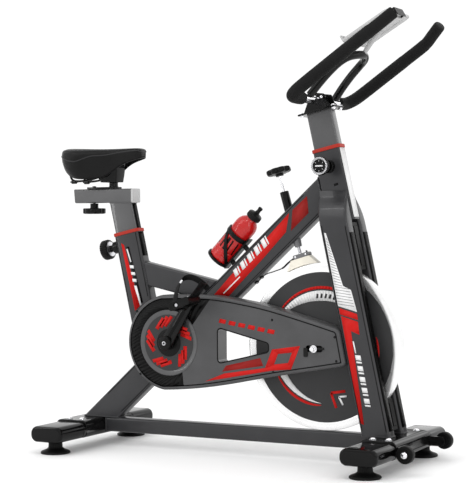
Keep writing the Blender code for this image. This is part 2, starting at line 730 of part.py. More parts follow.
def build_flywheel():
    make_pivot("flywheel", WHEEL_AXIS)
    edge = WHEEL_RADIUS
    profile = [
        (0.0064, -0.0175),
        (0.0240, -0.0175),
        (0.0300, -0.0100),
        (0.1700, -0.0100),
        (0.1780, -WHEEL_HALF),
        (edge, -WHEEL_HALF),
        (edge, WHEEL_HALF),
        (0.1780, WHEEL_HALF),
        (0.1700, 0.0100),
        (0.0300, 0.0100),
        (0.0240, 0.0175),
        (0.0064, 0.0175),
    ]
    add_piece("flywheel_disc", turned_ring(profile, WHEEL_AXIS, Y_AXIS, 48), "iron", "flywheel")
    cog = [
        (0.0064, -0.0178),
        (0.0170, -0.0178),
        (0.0170, CHAIN_Y + 0.0015),
        (SPROCKET_RADIUS, CHAIN_Y + 0.0015),
        (SPROCKET_RADIUS, CHAIN_Y - 0.0015),
        (0.0064, CHAIN_Y - 0.0015),
    ]
    add_piece("freewheel_sprocket", turned_ring(cog, WHEEL_AXIS, Y_AXIS, 24), "steel", "flywheel")


def build_axle_and_dropouts():
    rod = cylinder(WHEEL_AXIS - Y_AXIS * 0.017, Y_AXIS, 0.0060, 0.069, 16)
    axle = add_piece("flywheel_axle", rod, "steel")
    for y in (-0.0805, 0.0470):
        nut = [(0.0100, -0.0045), (0.0115, -0.003), (0.0115, 0.003), (0.0100, 0.0045)]
        combine(axle, turned(nut, WHEEL_AXIS + Y_AXIS * y, Y_AXIS, 6), "UNION")
    top, bottom, rear = 0.333, 0.290, 0.225
    leg_back = 0.0412  # from the leg's centre line to just behind its rear face
    outline = [
        (rear, bottom + 0.006),
        (rear + 0.006, bottom),
        (leg_x(bottom) - leg_back, bottom),
        (leg_x(top) - leg_back, top),
        (rear + 0.006, top),
        (rear, top - 0.006),
    ]
    for name, side in (("right_dropout", -1), ("left_dropout", 1)):
        plate = add_piece(name, plate_xz(outline, side * 0.034, side * 0.041), "charcoal")
        hole = cylinder(WHEEL_AXIS + Y_AXIS * side * 0.0375, Y_AXIS, 0.0063, 0.01, 16)
        combine(plate, hole, "DIFFERENCE")


# ---------------------------------------------------------------- brake


def brake_knob_rings():
    """A six-lobed hand knob on a round neck."""
    lobes = 6
    steps = lobes * 4
    rings = []
    for height, scale, wave in (
        (0.4843, 0.36, 0.0),
        (0.4890, 0.40, 0.0),
        (0.4915, 0.92, 0.0035),
        (0.4940, 1.0, 0.0035),
        (0.5040, 1.0, 0.0035),
        (0.5075, 0.9, 0.0035),
    ):
        points = []
        for i in range(steps):
            turn = 2 * math.pi * i / steps
            radius = scale * (0.0315 + wave * math.cos(lobes * turn))
            reach = BRAKE_FORE * math.cos(turn) + Y_AXIS * math.sin(turn)
            points.append(brake_point(height) + reach * radius)
        rings.append(points)
    return rings


def build_brake():
    sleeve = [(0.0125, 0.282), (0.0125, 0.440), (0.0053, 0.440), (0.0053, 0.282)]
    add_piece("brake_sleeve", turned_ring(sleeve, WHEEL_AXIS, BRAKE_UP, 20), "black")
    make_pivot("brake_rod", brake_point(0.470))
    rod = turned([(0.0050, 0.2623), (0.0050, 0.4840)], WHEEL_AXIS, BRAKE_UP, 16)
    add_piece("brake_rod", rod, "chrome", "brake_rod")
    make_pivot("brake_knob", brake_point(0.4843), "brake_rod")
    add_piece("brake_knob", loft(brake_knob_rings()), "black", "brake_knob")

    make_pivot("brake_pad", brake_point(0.262), "brake_rod")
    centre = brake_point(0.2565) + BRAKE_FORE * 0.004
    holder = slanted_box(centre, BRAKE_FORE, BRAKE_UP, 0.046, 0.026, 0.011, 0.003)
    add_piece("brake_pad_holder", holder, "grey", "brake_pad")
    top = 0.2507
    turns = [math.radians(BRAKE_PAD_ANGLE * (1 - i / 4)) for i in range(9)]
    arc = [BRAKE_UP * math.cos(t) * BRAKE_PAD_R + BRAKE_FORE * math.sin(t) * BRAKE_PAD_R for t in turns]
    flat = [BRAKE_UP * top + BRAKE_FORE * math.sin(t) * BRAKE_PAD_R * 0.60 for t in reversed(turns)]
    pad = loft([[WHEEL_AXIS + p + Y_AXIS * y for p in arc + flat] for y in (-0.0125, 0.0125)])
    add_piece("brake_pad", pad, "pad", "brake_pad")

    # The return wire runs from behind the pad holder to the underside of the beam.
    start = brake_point(0.2550) - BRAKE_FORE * 0.0235
    under = BEAM_POINT - BEAM_OUT * (TUBE_DEPTH / 2 + 0.0035)
    route = [start, Vector((0.1470, 0, 0.5385)), Vector((0.1300, 0, 0.5245)), Vector((0.1040, 0, 0.5150))]
    route += [under - BEAM_UP * 0.088, under - BEAM_UP * 0.125]
    add_piece("brake_return_wire", round_tube(smooth_path(route, 4), 0.0018, 8), "black")


# ---------------------------------------------------------------- saddle side


def build_seat_post():
    make_pivot("seat_post", SEAT_TUBE_TOP)
    rear, front, bottom, top = SLIDE_TUBE
    low = SEAT_TUBE_TOP - POST_UP * 0.120
    high = SEAT_TUBE_TOP + POST_UP * 0.08
    top_cut = (Vector((0, 0, bottom - GAP)), Z_AXIS)
    tube = square_tube(low, high, POST_WIDTH, POST_DEPTH, TUBE_CORNER - 0.001, TUBE_WALL, None, top_cut)
    add_piece("seat_post", tube, "grey", "seat_post")
    make_collar("seat_collar", SEAT_TUBE_TOP)

    tube = box((rear, -0.020, bottom), (front, 0.020, top), 0.004, 0)
    slide = add_piece("saddle_slide_tube", tube, "grey", "seat_post")
    inside = box((rear + 0.004, -0.0175, bottom + 0.0025), (front - 0.004, 0.0175, top - 0.0025))
    combine(slide, inside, "DIFFERENCE")
    slot = box((-0.531, -0.0048, bottom - 0.01), (-0.444, 0.0048, top + 0.01))
    combine(slide, slot, "DIFFERENCE")


def make_collar(name, top):
    """The coloured ring on a tube's mouth that the post slides through."""
    rings = []
    high = COLLAR_HEIGHT
    profile = [(0.0022, GAP), (0.0022, high - 0.001), (0.0012, high), (-0.0026, high), (-0.0026, GAP)]
    for out, height in profile:
        outline = rounded_rectangle(TUBE_WIDTH + 2 * out, TUBE_DEPTH + 2 * out, TUBE_CORNER + out * 0.6)
        rings.append(ring(top + POST_UP * height, Y_AXIS, POST_FORE, outline))
    add_piece(name, loft(rings, closed=True), "red")


def build_pull_pin(name, face_point, out, boss, knob_from, knob_to, knob_radius):
    """A spring pin: a fluted knob on a shank that goes through the tube wall."""
    make_pivot(name, face_point)
    profile = [
        (0.0080, -0.0025),
        (0.0080, GAP),
        (0.0180, GAP),
        (0.0180, boss),
        (0.0100, boss + 0.001),
        (0.0100, knob_from),
        (knob_radius * 0.85, knob_from + 0.001),
        (knob_radius, knob_from + 0.004),
        (knob_radius, knob_to),
    ]
    add_piece(name, turned(profile, face_point, out, 20), "black", name)


def build_saddle():
    rear, front, bottom, top = SLIDE_TUBE
    make_pivot("saddle_carriage", (CARRIAGE_X, 0, top), "seat_post")
    plate = box((-0.5040, -0.0180, top + GAP), (-0.4010, 0.0180, top + 0.0055), 0.005)
    carriage = add_piece("saddle_carriage", plate, "black", "saddle_carriage")
    pivot_z = SADDLE_PIVOT.z
    stem = turned([(0.0130, 0), (0.0130, 0.0190)], (STEM_X, 0, top + 0.004), Z_AXIS, 20)
    combine(carriage, stem, "UNION")
    tongue = slanted_box((STEM_X, 0, pivot_z - 0.006), X_AXIS, Z_AXIS, 0.018, 0.010, 0.026, 0.006)
    combine(carriage, tongue, "UNION")
    combine(carriage, cylinder(SADDLE_PIVOT, Y_AXIS, 0.0040, 0.0205, 14), "UNION")

    make_pivot("carriage_knob", (-0.4880, 0, bottom), "saddle_carriage")
    knob = [
        (0.0290, -0.0320),
        (0.0330, -0.0290),
        (0.0330, -0.0150),
        (0.0120, -0.0150),
        (0.0120, -0.0010),
        (0.0040, -0.0009),
        (0.0040, top - bottom),
    ]
    add_piece("carriage_knob", turned(knob, (-0.4880, 0, bottom), Z_AXIS, 20), "black", "carriage_knob")

    make_pivot("saddle", SADDLE_PIVOT, "saddle_carriage")
    block = box((-0.4560, -0.0260, 0.7770), (-0.4100, 0.0260, 0.8060), 0.006, 1)
    clamp = add_piece("saddle_clamp", block, "black", "saddle")
    combine(clamp, box((-0.4600, -0.0056, 0.7700), (-0.3940, 0.0056, 0.8005)), "DIFFERENCE")
    combine(clamp, cylinder(SADDLE_PIVOT, Y_AXIS, 0.0043, 0.03, 14), "DIFFERENCE")
    # One bent rod is both rails: it runs along one side, round under the nose and back along the other.
    half = [(-0.5480, 0.0340, 0.8200), (-0.5490, 0.0340, 0.7960), (-0.5430, 0.0335, 0.7800)]
    half += [(-0.5250, 0.0325, 0.7745), (-0.4900, 0.0290, 0.7770), (-0.4550, 0.0265, 0.7850)]
    half += [(-0.4250, 0.0235, 0.7985), (-0.4020, 0.0190, 0.8125), (-0.3900, 0.0120, 0.8220)]
    route = [Vector(p) for p in half] + [Vector((-0.3860, 0, 0.8245))]
    route += [Vector((x, -y, z)) for x, y, z in reversed(half)]
    combine(clamp, round_tube(smooth_path(route, 2), 0.0032, 6), "UNION")
    build_saddle_cushion()


def build_saddle_cushion():
    """The padded saddle as a plain solid: wide rear, slim nose, and a skirt that leaves a hollow under it."""
    # x, half width, top, lower edge of the skirt
    stations = [
        (-0.570, 0.035, 0.8580, 0.8350),
        (-0.560, 0.060, 0.8660, 0.8130),
        (-0.540, 0.083, 0.8695, 0.7930),
        (-0.510, 0.092, 0.8700, 0.7830),
        (-0.480, 0.084, 0.8690, 0.7810),
        (-0.450, 0.062, 0.8680, 0.7830),
        (-0.430, 0.047, 0.8675, 0.7880),
        (-0.408, 0.037, 0.8670, 0.8010),
        (-0.385, 0.031, 0.8670, 0.8180),
        (-0.357, 0.027, 0.8675, 0.8290),
        (-0.335, 0.024, 0.8670, 0.8335),
        (-0.323, 0.020, 0.8640, 0.8360),
        (-0.316, 0.012, 0.8560, 0.8420),
    ]
    skin, pad = 0.006, 0.033
    rings = []
    for x, half, top, low in stations:
        depth = top - low
        hollow = max(low + 0.001, top - pad)
        outer = [(0.86, low), (0.97, low + 0.35 * depth), (1.0, low + 0.62 * depth)]
        outer += [(0.90, top - 0.14 * depth), (0.60, top - 0.02 * depth)]
        right = [(share * half, z) for share, z in outer]
        inner_low = 0.86 * half - skin
        inner = [(inner_low, low), (inner_low, 0.5 * (low + hollow)), (0.85 * inner_low, hollow)]
        points = right + [(0.0, top)] + [(-y, z) for y, z in reversed(right)]
        points += [(-y, z) for y, z in inner] + [(y, z) for y, z in reversed(inner)]
        rings.append([Vector((x, y, z)) for y, z in points])
    add_piece("saddle_cushion", loft(rings), "leather", "saddle")


# ---------------------------------------------------------------- handlebar side


def build_handlebar_post():
    make_pivot("handlebar_post", HEAD_TUBE_TOP)
    low = HEAD_TUBE_TOP - POST_UP * 0.150
    high = HEAD_TUBE_TOP + POST_UP * 0.1075
    tube = square_tube(low, high, POST_WIDTH, POST_DEPTH, TUBE_CORNER - 0.001, TUBE_WALL)
    add_piece("handlebar_post", tube, "grey", "handlebar_post")
    make_collar("head_collar", HEAD_TUBE_TOP)

    base = high + POST_UP * 0.0028
    plate = slanted_box(base, POST_FORE, POST_UP, 0.112, 0.062, 0.005, 0.002)
    clamp = add_piece("handlebar_clamp", plate, "black", "handlebar_post")
    # Two cheeks rise from the plate and hold the bar between them.
    bar = BAR_CENTRE
    for side in (-1, 1):
        foot = base + Y_AXIS * (side * 0.0245)
        outline = [
            foot - POST_FORE * 0.040,
            foot + POST_FORE * 0.046,
            bar + Vector((0.030, side * 0.0245, -0.002)),
            bar + Vector((0.022, side * 0.0245, 0.017)),
            bar + Vector((-0.008, side * 0.0245, 0.0205)),
            bar + Vector((-0.0215, side * 0.0245, 0.006)),
        ]
        cheek = loft([[p + Y_AXIS * y for p in outline] for y in (-0.002, 0.002)])
        combine(clamp, cheek, "UNION")
    combine(clamp, cylinder(bar, Y_AXIS, BARE_BAR_RADIUS + GAP, 0.05, 20), "DIFFERENCE")


def bar_route():
    """Half of the handlebar, from its middle out to the end of the left grip."""
    half = [
        (0.000, 0.0000, 0.0000),
        (0.000, 0.0600, 0.0000),
        (0.000, BARE_BAR_HALF - 0.001, 0.0000),
        (0.000, BARE_BAR_HALF + 0.001, 0.0000),
        (-0.002, 0.1400, 0.0000),
        (0.001, 0.1700, 0.0025),
        (0.020, 0.1865, 0.0140),
        (0.050, 0.1905, 0.0340),
        (0.110, 0.1905, 0.0745),
        (0.170, 0.1905, 0.1150),
        (0.220, 0.1905, 0.1487),
        (0.238, 0.1865, 0.1615),
        (0.256, 0.1770, 0.1775),
        (0.283, 0.1634, 0.2018),
    ]
    return [BAR_CENTRE + Vector(offset) for offset in half]


def mirrored(half):
    """A route on both sides: the half turned round and reflected, then the half itself."""
    return [Vector((p.x, -p.y, p.z)) for p in reversed(half[1:])] + half


def build_handlebar():
    route = bar_route()
    half = route[:4] + smooth_path(route[4:], 2)
    path = mirrored(half)
    radii = [BARE_BAR_RADIUS if abs(p.y) < BARE_BAR_HALF and p.x < 0.26 else GRIP_RADIUS for p in path]
    add_piece("handlebar", round_tube(path, radii, 10), "foam", "handlebar_post")

    # The middle hoop stands on the bare bar and leans forwards.
    hoop_half = [
        (0.3725, 0.0000, 1.0965),
        (0.3665, 0.0300, 1.0940),
        (0.3530, 0.0540, 1.0870),
        (0.3330, 0.0660, 1.0727),
        (0.3070, 0.0715, 1.0490),
        (0.2800, 0.0760, 1.0200),
        (0.2558, 0.0810, 0.9908),
    ]
    hoop = round_tube(smooth_path(mirrored([Vector(p) for p in hoop_half]), 2), HOOP_RADIUS, 10)
    add_piece("handlebar_hoop", hoop, "black", "handlebar_post")


def build_tablet_holder():
    slope = math.radians(30.0)
    fore = Vector((math.cos(slope), 0, math.sin(slope)))
    up = Vector((-math.sin(slope), 0, math.cos(slope)))
    centre = Vector((0.4120, 0, 1.1640))
    tray = slanted_box(centre, fore, up, 0.150, 0.164, 0.006, 0.002)
    holder = add_piece("tablet_holder", tray, "white", "handlebar_post")
    lip = slanted_box(centre - fore * 0.073 + up * 0.010, fore, up, 0.004, 0.164, 0.018, 0.0015)
    combine(holder, lip, "UNION")
    rail = slanted_box(centre + fore * 0.030 - up * 0.008, fore, up, 0.075, 0.040, 0.012, 0.002)
    combine(holder, rail, "UNION")
    make_pivot("tablet_clip", centre + fore * 0.0765, "handlebar_post")
    clip = slanted_box(centre + fore * 0.0785, fore, up, 0.003, 0.060, 0.020, 0.001)
    clip = add_piece("tablet_clip", clip, "black", "tablet_clip")
    hook = slanted_box(centre + fore * 0.0720 + up * 0.0105, fore, up, 0.016, 0.060, 0.003, 0.001)
    combine(clip, hook, "UNION")


# ---------------------------------------------------------------- bottle


def build_bottle():
    make_pivot("bottle", BOTTLE_FOOT)
    r = BOTTLE_RADIUS
    profile = [(r - 0.004, 0.0), (r, 0.004), (r, 0.122), (r - 0.003, 0.136), (r - 0.012, 0.147)]
    profile += [(0.0165, 0.150), (0.0165, 0.153)]
    add_piece("bottle_body", turned(profile, BOTTLE_FOOT, BOTTLE_UP, 20), "red", "bottle")
    cap = [(0.0205, 0.1533), (0.0205, 0.167), (0.0180, 0.170), (0.0080, 0.173)]
    cap += [(0.0065, 0.190), (0.0045, 0.193)]
    add_piece("bottle_cap", turned(cap, BOTTLE_FOOT, BOTTLE_UP, 16), "black", "bottle")


def build_bottle_cage():
    """A back strip on two pegs that stand on the beam, a cup under the bottle, and a hoop round it."""
    r_in, r_out = BOTTLE_RADIUS + 0.0012, BOTTLE_RADIUS + 0.0040
    back = BOTTLE_FOOT - BOTTLE_OUT * r_out
    strip = slanted_box(back + BOTTLE_UP * 0.050, BOTTLE_UP, BOTTLE_OUT, 0.112, 0.022, 0.0045, 0.001)
    cage = add_piece("bottle_cage", strip, "black")
    for low, high in ((-0.0055, 0.010), (0.083, 0.096)):
        hoop = [(r_in, low), (r_out, low), (r_out, high), (r_in, high)]
        combine(cage, turned_ring(hoop, BOTTLE_FOOT, BOTTLE_UP, 20), "UNION")
    cup = turned([(r_out - 0.0005, -0.0056), (r_out - 0.0005, -0.0025)], BOTTLE_FOOT, BOTTLE_UP, 20)
    combine(cage, cup, "UNION")
    for along in (0.022, 0.080):
        tip = back + BOTTLE_UP * along
        foot = on_plane(tip, -BEAM_OUT, *beam_top_plane())
        combine(cage, turned([(0.0070, 0), (0.0070, (tip - foot).length)], foot, BEAM_OUT, 14), "UNION")
    for turn in (math.radians(215), math.radians(325)):
        side = Y_AXIS * math.cos(turn) + BOTTLE_OUT * math.sin(turn)
        centre = BOTTLE_FOOT + BOTTLE_UP * 0.045 + side * ((r_in + r_out) / 2)
        cross = BOTTLE_UP.cross(side)
        outline = [(0.006, 0.0012), (-0.006, 0.0012), (-0.006, -0.0012), (0.006, -0.0012)]
        rail = loft([ring(centre + BOTTLE_UP * s * 0.045, cross, side, outline) for s in (-1, 1)])
        combine(cage, rail, "UNION")


# ---------------------------------------------------------------- assembly


def build_frame():
    build_main_beam()
    build_head_tube()
    build_seat_tube()
    build_seat_brace()
    build_leg("right_leg", -1)
    build_leg("left_leg", 1)
    build_leg_panels()
    build_base_tube()
    build_cross_foot("rear_cross_foot", REAR_FOOT_X)
    front_foot = build_cross_foot("front_cross_foot", FRONT_FOOT_X)
    build_transport_wheels(front_foot)
    for place, x in (("rear", REAR_FOOT_X), ("front", FRONT_FOOT_X)):
        for hand, side in (("right", -1), ("left", 1)):
            build_foot_cap(f"{place}_{hand}_foot_cap", x, side)
            build_leveller(f"{place}_{hand}_leveller", x, side)


def build_drive():
    build_bottom_bracket()
    build_chain_cover()
    build_chain()
    build_crankset()
    build_flywheel()
    build_axle_and_dropouts()
    build_brake()


def build_fittings():
    build_seat_post()
    build_pull_pin("seat_pin", seat_pin_point(), -POST_FORE, 0.016, 0.031, 0.054, 0.0280)
    build_saddle()
    build_handlebar_post()
    build_handlebar()
    build_tablet_holder()
    head_face = head_axis_at(HEAD_PIN_Z) - Y_AXIS * (TUBE_WIDTH / 2)
    build_pull_pin("head_pin", head_face, -Y_AXIS, 0.018, 0.044, 0.066, 0.0235)
    build_bottle()
    build_bottle_cage()


clear_scene()
build_frame()
build_drive()
build_fittings()
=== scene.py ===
"""Indoor spin bike: the looks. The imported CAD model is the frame, and every piece rides on one of its bodies.

+X is forwards, +Y is the rider's left, +Z is up. Lengths are metres.
"""

import math

import bmesh
import bpy
from mathutils import Matrix, Vector


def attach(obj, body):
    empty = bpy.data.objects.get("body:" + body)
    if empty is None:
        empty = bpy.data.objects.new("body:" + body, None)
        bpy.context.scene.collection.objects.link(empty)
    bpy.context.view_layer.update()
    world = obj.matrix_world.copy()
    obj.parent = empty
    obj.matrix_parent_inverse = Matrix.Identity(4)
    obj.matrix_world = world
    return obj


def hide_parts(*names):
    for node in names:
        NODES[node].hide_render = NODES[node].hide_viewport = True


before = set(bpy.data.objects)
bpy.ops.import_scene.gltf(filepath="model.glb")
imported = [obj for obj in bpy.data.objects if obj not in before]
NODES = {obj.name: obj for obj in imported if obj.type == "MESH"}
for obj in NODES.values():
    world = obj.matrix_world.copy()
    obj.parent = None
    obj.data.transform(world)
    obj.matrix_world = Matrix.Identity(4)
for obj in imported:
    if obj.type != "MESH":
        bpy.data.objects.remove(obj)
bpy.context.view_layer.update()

# Frame geometry, as in the CAD
TUBE_DEPTH = 0.080
TUBE_WIDTH = 0.040
TUBE_CORNER = 0.007
POST_LEAN = math.radians(12.5)
LEG_LEAN = math.radians(12.0)
BEAM_SLOPE = math.radians(41.9)
BEAM_POINT = Vector((0.1115, 0, 0.5960))
SEAT_TUBE_TOP = Vector((-0.3675, 0, 0.6185))
HEAD_TUBE_TOP = Vector((0.2720, 0, 0.8435))
LEG_POINT = Vector((0.3577, 0, 0.4300))
LEG_TOP_Z = 0.735
LEG_INNER_Y = 0.025
LEG_OUTER_Y = 0.065
REAR_FOOT_X = -0.4936
FRONT_FOOT_X = 0.4600
FOOT_WIDTH = 0.105
FOOT_HEIGHT = 0.045
FOOT_Z = 0.0575
BRACKET_HALF = 0.120
BRACKET_TOP_Z = 0.085
BRACKET_BOTTOM_Z = 0.035
FOOT_CORE_HALF = 0.234
FOOT_CAP_END = 0.2485
FOOT_CORNER = 0.019
BRACKET_BOLT = (0.022, 0.098)  # along X from the foot's middle, and Y
LEVELLER_Y = 0.200
TRANSPORT_WHEEL = (0.5465, 0.1410, 0.0570)
CRANK_AXIS = Vector((-0.1950, 0, 0.3135))
CRANK_LENGTH = 0.1355
CRANK_ANGLE = math.radians(55.9)
WHEEL_AXIS = Vector((0.2572, 0, 0.3117))
WHEEL_RADIUS = 0.226
WHEEL_HALF = 0.014
FACE_RADIUS = 0.205
WHEEL_FACE_Y = 0.0136
COVER_Y = -0.0700
COVER_ROUND = 0.136
DISH_RADIUS = 0.0932
PEDAL_TILT = math.radians(21.0)
POST_DEPTH = 0.0735
POST_WIDTH = 0.0335
SLIDE_TUBE = (-0.5465, -0.3400, 0.7100, 0.7510)  # rear, front, bottom, top
SLIDE_WIDTH = 0.040
SEAT_PIN_DROP = 0.0285
HEAD_PIN_Z = 0.800
STEM_X = -0.42
CARRIAGE_KNOB_X = -0.488
SADDLE_CLAMP_X = -0.433
SADDLE_CLAMP_Z = 0.7915
BAR_CENTRE = Vector((0.2470, 0, 0.9800))
BRAKE_LEAN = math.radians(16.0)
BOTTLE_SLOPE = math.radians(46.0)
BOTTLE_RADIUS = 0.0320
BOTTLE_FOOT = Vector((-0.0690, 0, 0.5520))
GAP = 0.0003
TUBE_WALL = 0.002
FLAT_LIFT = 0.00035
TOP_LIFT = 0.0007
HANDS = (("right", -1), ("left", 1))
WIDE_AND_THIN = [(0.0, 0.0135), (0.0170, 0.0215)]

X_AXIS = Vector((1, 0, 0))
Y_AXIS = Vector((0, 1, 0))
Z_AXIS = Vector((0, 0, 1))


def sloped(angle):
    """The direction in the XZ plane that rises from +X by an angle."""
    return Vector((math.cos(angle), 0, math.sin(angle)))


def leaned(angle):
    """The direction in the XZ plane that leans back from +Z by an angle."""
    return Vector((-math.sin(angle), 0, math.cos(angle)))


POST_UP = leaned(POST_LEAN)
POST_FORE = sloped(POST_LEAN)
LEG_DOWN = -leaned(LEG_LEAN)
LEG_FORE = sloped(LEG_LEAN)
BEAM_UP = sloped(BEAM_SLOPE)
BEAM_OUT = leaned(BEAM_SLOPE)
BRAKE_UP = leaned(BRAKE_LEAN)
BRAKE_FORE = sloped(BRAKE_LEAN)
BOTTLE_UP = sloped(BOTTLE_SLOPE)
BOTTLE_OUT = leaned(BOTTLE_SLOPE)

# ---------------------------------------------------------------- materials

COLOUR_SCALE = 14.0
ROUGHNESS_SCALE = 45.0
BUMP_DEPTH = 0.0006
MATERIALS = {}
SOCKETS = {
    "specular": "Specular IOR Level",
    "coat": "Coat Weight",
    "coat_rough": "Coat Roughness",
    "clear": "Transmission Weight",
    "sheen": "Sheen Weight",
}


def surface(name, slot, colour, rough, metal=0.0, tint=0.10, spread=0.06, grain=0.10, scale=600.0, **sockets):
    """A Principled material with noise in its colour, roughness and bump; one number is a neutral grey."""
    colour = (colour,) * 3 if isinstance(colour, float) else colour
    material = bpy.data.materials.new(name)
    material.use_nodes = True
    tree = material.node_tree
    shader = tree.nodes["Principled BSDF"]
    shader.inputs["Metallic"].default_value = metal
    for socket, value in sockets.items():
        shader.inputs[SOCKETS[socket]].default_value = value
    coords = tree.nodes.new("ShaderNodeTexCoord")

    def noise(size, detail):
        node = tree.nodes.new("ShaderNodeTexNoise")
        node.inputs["Scale"].default_value = size
        node.inputs["Detail"].default_value = detail
        tree.links.new(coords.outputs["Object"], node.inputs["Vector"])
        return node

    ramp = tree.nodes.new("ShaderNodeValToRGB")
    ramp.color_ramp.elements[0].position = 0.3
    ramp.color_ramp.elements[1].position = 0.7
    for element, factor in zip(ramp.color_ramp.elements, (1 - tint, 1 + tint)):
        element.color = (*(min(1.0, c * factor) for c in colour), 1)
    tree.links.new(noise(COLOUR_SCALE, 4).outputs["Fac"], ramp.inputs["Fac"])
    tree.links.new(ramp.outputs["Color"], shader.inputs["Base Color"])
    span = tree.nodes.new("ShaderNodeMapRange")
    span.inputs["To Min"].default_value = max(0.02, rough - spread)
    span.inputs["To Max"].default_value = rough + spread
    tree.links.new(noise(ROUGHNESS_SCALE, 6).outputs["Fac"], span.inputs["Value"])
    tree.links.new(span.outputs["Result"], shader.inputs["Roughness"])
    bump = tree.nodes.new("ShaderNodeBump")
    bump.inputs["Strength"].default_value = grain
    bump.inputs["Distance"].default_value = BUMP_DEPTH
    tree.links.new(noise(scale, 3).outputs["Fac"], bump.inputs["Height"])
    tree.links.new(bump.outputs["Normal"], shader.inputs["Normal"])
    MATERIALS[name] = material
    return material


def cell_grain(name, scale, strength, depth):
    """Swaps a material's fine noise bump for raised cells, as on leatherette and foam."""
    tree = MATERIALS[name].node_tree
    bump = next(n for n in tree.nodes if n.type == "BUMP")
    coords = next(n for n in tree.nodes if n.type == "TEX_COORD")
    cells = tree.nodes.new("ShaderNodeTexVoronoi")
    cells.feature = "DISTANCE_TO_EDGE"
    cells.inputs["Scale"].default_value = scale
    tree.links.new(coords.outputs["Object"], cells.inputs["Vector"])
    crease = tree.nodes.new("ShaderNodeMapRange")
    crease.inputs["From Max"].default_value = 0.12
    tree.links.new(cells.outputs["Distance"], crease.inputs["Value"])
    tree.links.new(crease.outputs["Result"], bump.inputs["Height"])
    bump.inputs["Strength"].default_value = strength
    bump.inputs["Distance"].default_value = depth


def brushed(name, stretch):
    """Stretches a material's bump noise into fine parallel scratches."""
    tree = MATERIALS[name].node_tree
    coords = next(n for n in tree.nodes if n.type == "TEX_COORD")
    mapping = tree.nodes.new("ShaderNodeMapping")
    mapping.inputs["Scale"].default_value = stretch
    tree.links.new(coords.outputs["Object"], mapping.inputs["Vector"])
    bump = next(n for n in tree.nodes if n.type == "BUMP")
    fine = bump.inputs["Height"].links[0].from_node
    tree.links.new(mapping.outputs["Vector"], fine.inputs["Vector"])


def make_materials():
    surface("charcoal_paint", "frame_paint", (0.029, 0.029, 0.031), 0.34,
            metal=0.10, specular=0.28, coat=0.15, coat_rough=0.10)
    surface("grey_paint", "post_paint", (0.070, 0.070, 0.072), 0.32, metal=0.30, grain=0.06, coat=0.25)
    # The leg panels' own dark paint, also laid on tube fronts as painted shade.
    surface("panel_paint_and_painted_shade", "panel_paint", 0.003, 0.20, grain=0.05, specular=0.03)
    surface("black_plastic", "black_plastic", 0.0035, 0.30, grain=0.30, scale=900.0, specular=0.14)
    surface("gloss_black_plastic", "gloss_black", 0.002, 0.13, grain=0.04, specular=0.18)
    surface("gloss_black_paint", "black_steel", 0.003, 0.14, grain=0.05, specular=0.20)
    surface("collar_plastic", "collar_red", (0.36, 0.026, 0.016), 0.45, grain=0.12, specular=0.15)
    surface("cover_plastic", "cover_grey", (0.066, 0.066, 0.068), 0.36,
            grain=0.22, scale=1200.0, specular=0.25)
    surface("brushed_steel", "steel", (0.55, 0.55, 0.57), 0.32, metal=1.0, grain=0.15)
    surface("chrome_plate", "chrome", (0.86, 0.86, 0.88), 0.09,
            metal=1.0, tint=0.03, spread=0.03, grain=0.02)
    surface("rim_steel", "wheel_iron", 0.90, 0.24, metal=0.75, tint=0.04, grain=0.08)
    surface("wheel_paint", "wheel_iron", (0.024, 0.024, 0.025), 0.40, grain=0.10, specular=0.3)
    surface("leatherette", "saddle_cover", 0.004, 0.30, grain=0.3, specular=0.16)
    # Drawn lighter than the cushion's leatherette: a painted highlight along the seam ridge.
    surface("seam_leather_painted_highlight", "saddle_cover", (0.020, 0.020, 0.021), 0.30, grain=0.2, specular=0.3)
    surface("grip_foam", "grip_foam", 0.008, 0.70, grain=0.6, specular=0.12)
    surface("white_plastic", "white_plastic", 0.46, 0.34, tint=0.02, grain=0.08, specular=0.25)
    surface("grey_plastic", "brake_grey", (0.14, 0.14, 0.145), 0.40, grain=0.15, specular=0.3)
    surface("pale_plastic", "white_plastic", 0.42, 0.38, tint=0.03, grain=0.10, specular=0.3)
    surface("bottle_plastic", "bottle_red", (0.50, 0.008, 0.008), 0.20,
            grain=0.05, clear=0.15, specular=0.35, coat=0.15)
    surface("black_rubber", "rubber", 0.004, 0.50, grain=0.35, specular=0.12)
    surface("cream_felt", "felt", (0.80, 0.76, 0.66), 0.92, tint=0.08, grain=0.8, scale=1500.0, sheen=0.4)
    surface("mark_red", "cover_grey", (0.50, 0.010, 0.008), 0.40, tint=0.06, grain=0.05, specular=0.12)
    surface("mark_dull_red", "cover_grey", (0.25, 0.012, 0.010), 0.42, tint=0.06, grain=0.05, specular=0.12)
    # White print, also drawn as a painted highlight down the head tube's front.
    surface("mark_white_and_painted_highlight", "cover_grey", 0.78, 0.36, tint=0.02, grain=0.04, specular=0.2)
    surface("mark_grey", "cover_grey", (0.20, 0.20, 0.21), 0.36, tint=0.03, grain=0.04, specular=0.1)
    # Black print, also drawn as painted shade: lines along tube edges and the crank's groove.
    surface("mark_black_and_painted_shade", "cover_grey", 0.002, 0.30, grain=0.05, specular=0.12)
    cell_grain("leatherette", 520.0, 0.35, 0.0004)
    cell_grain("grip_foam", 900.0, 0.5, 0.0004)
    brushed("brushed_steel", (1.0, 30.0, 1.0))
    brushed("rim_steel", (1.0, 0.1, 1.0))


# ---------------------------------------------------------------- shapes


def rounded_rectangle(width, depth, corner, steps=6):
    corner = min(corner, 0.49 * width, 0.49 * depth)
    points = []
    for quarter in range(4):
        sx = (1, -1, -1, 1)[quarter]
        sy = (1, 1, -1, -1)[quarter]
        for step in range(steps + 1):
            angle = math.radians(90 * quarter + 90 * step / steps)
            x = sx * (width / 2 - corner) + corner * math.cos(angle)
            y = sy * (depth / 2 - corner) + corner * math.sin(angle)
            points.append((x, y))
    return points


def circle(radius, sides):
    turn = [2 * math.pi * i / sides for i in range(sides)]
    return [(radius * math.cos(t), radius * math.sin(t)) for t in turn]


def ring(centre, across, along, outline):
    return [Vector(centre) + across * a + along * b for a, b in outline]


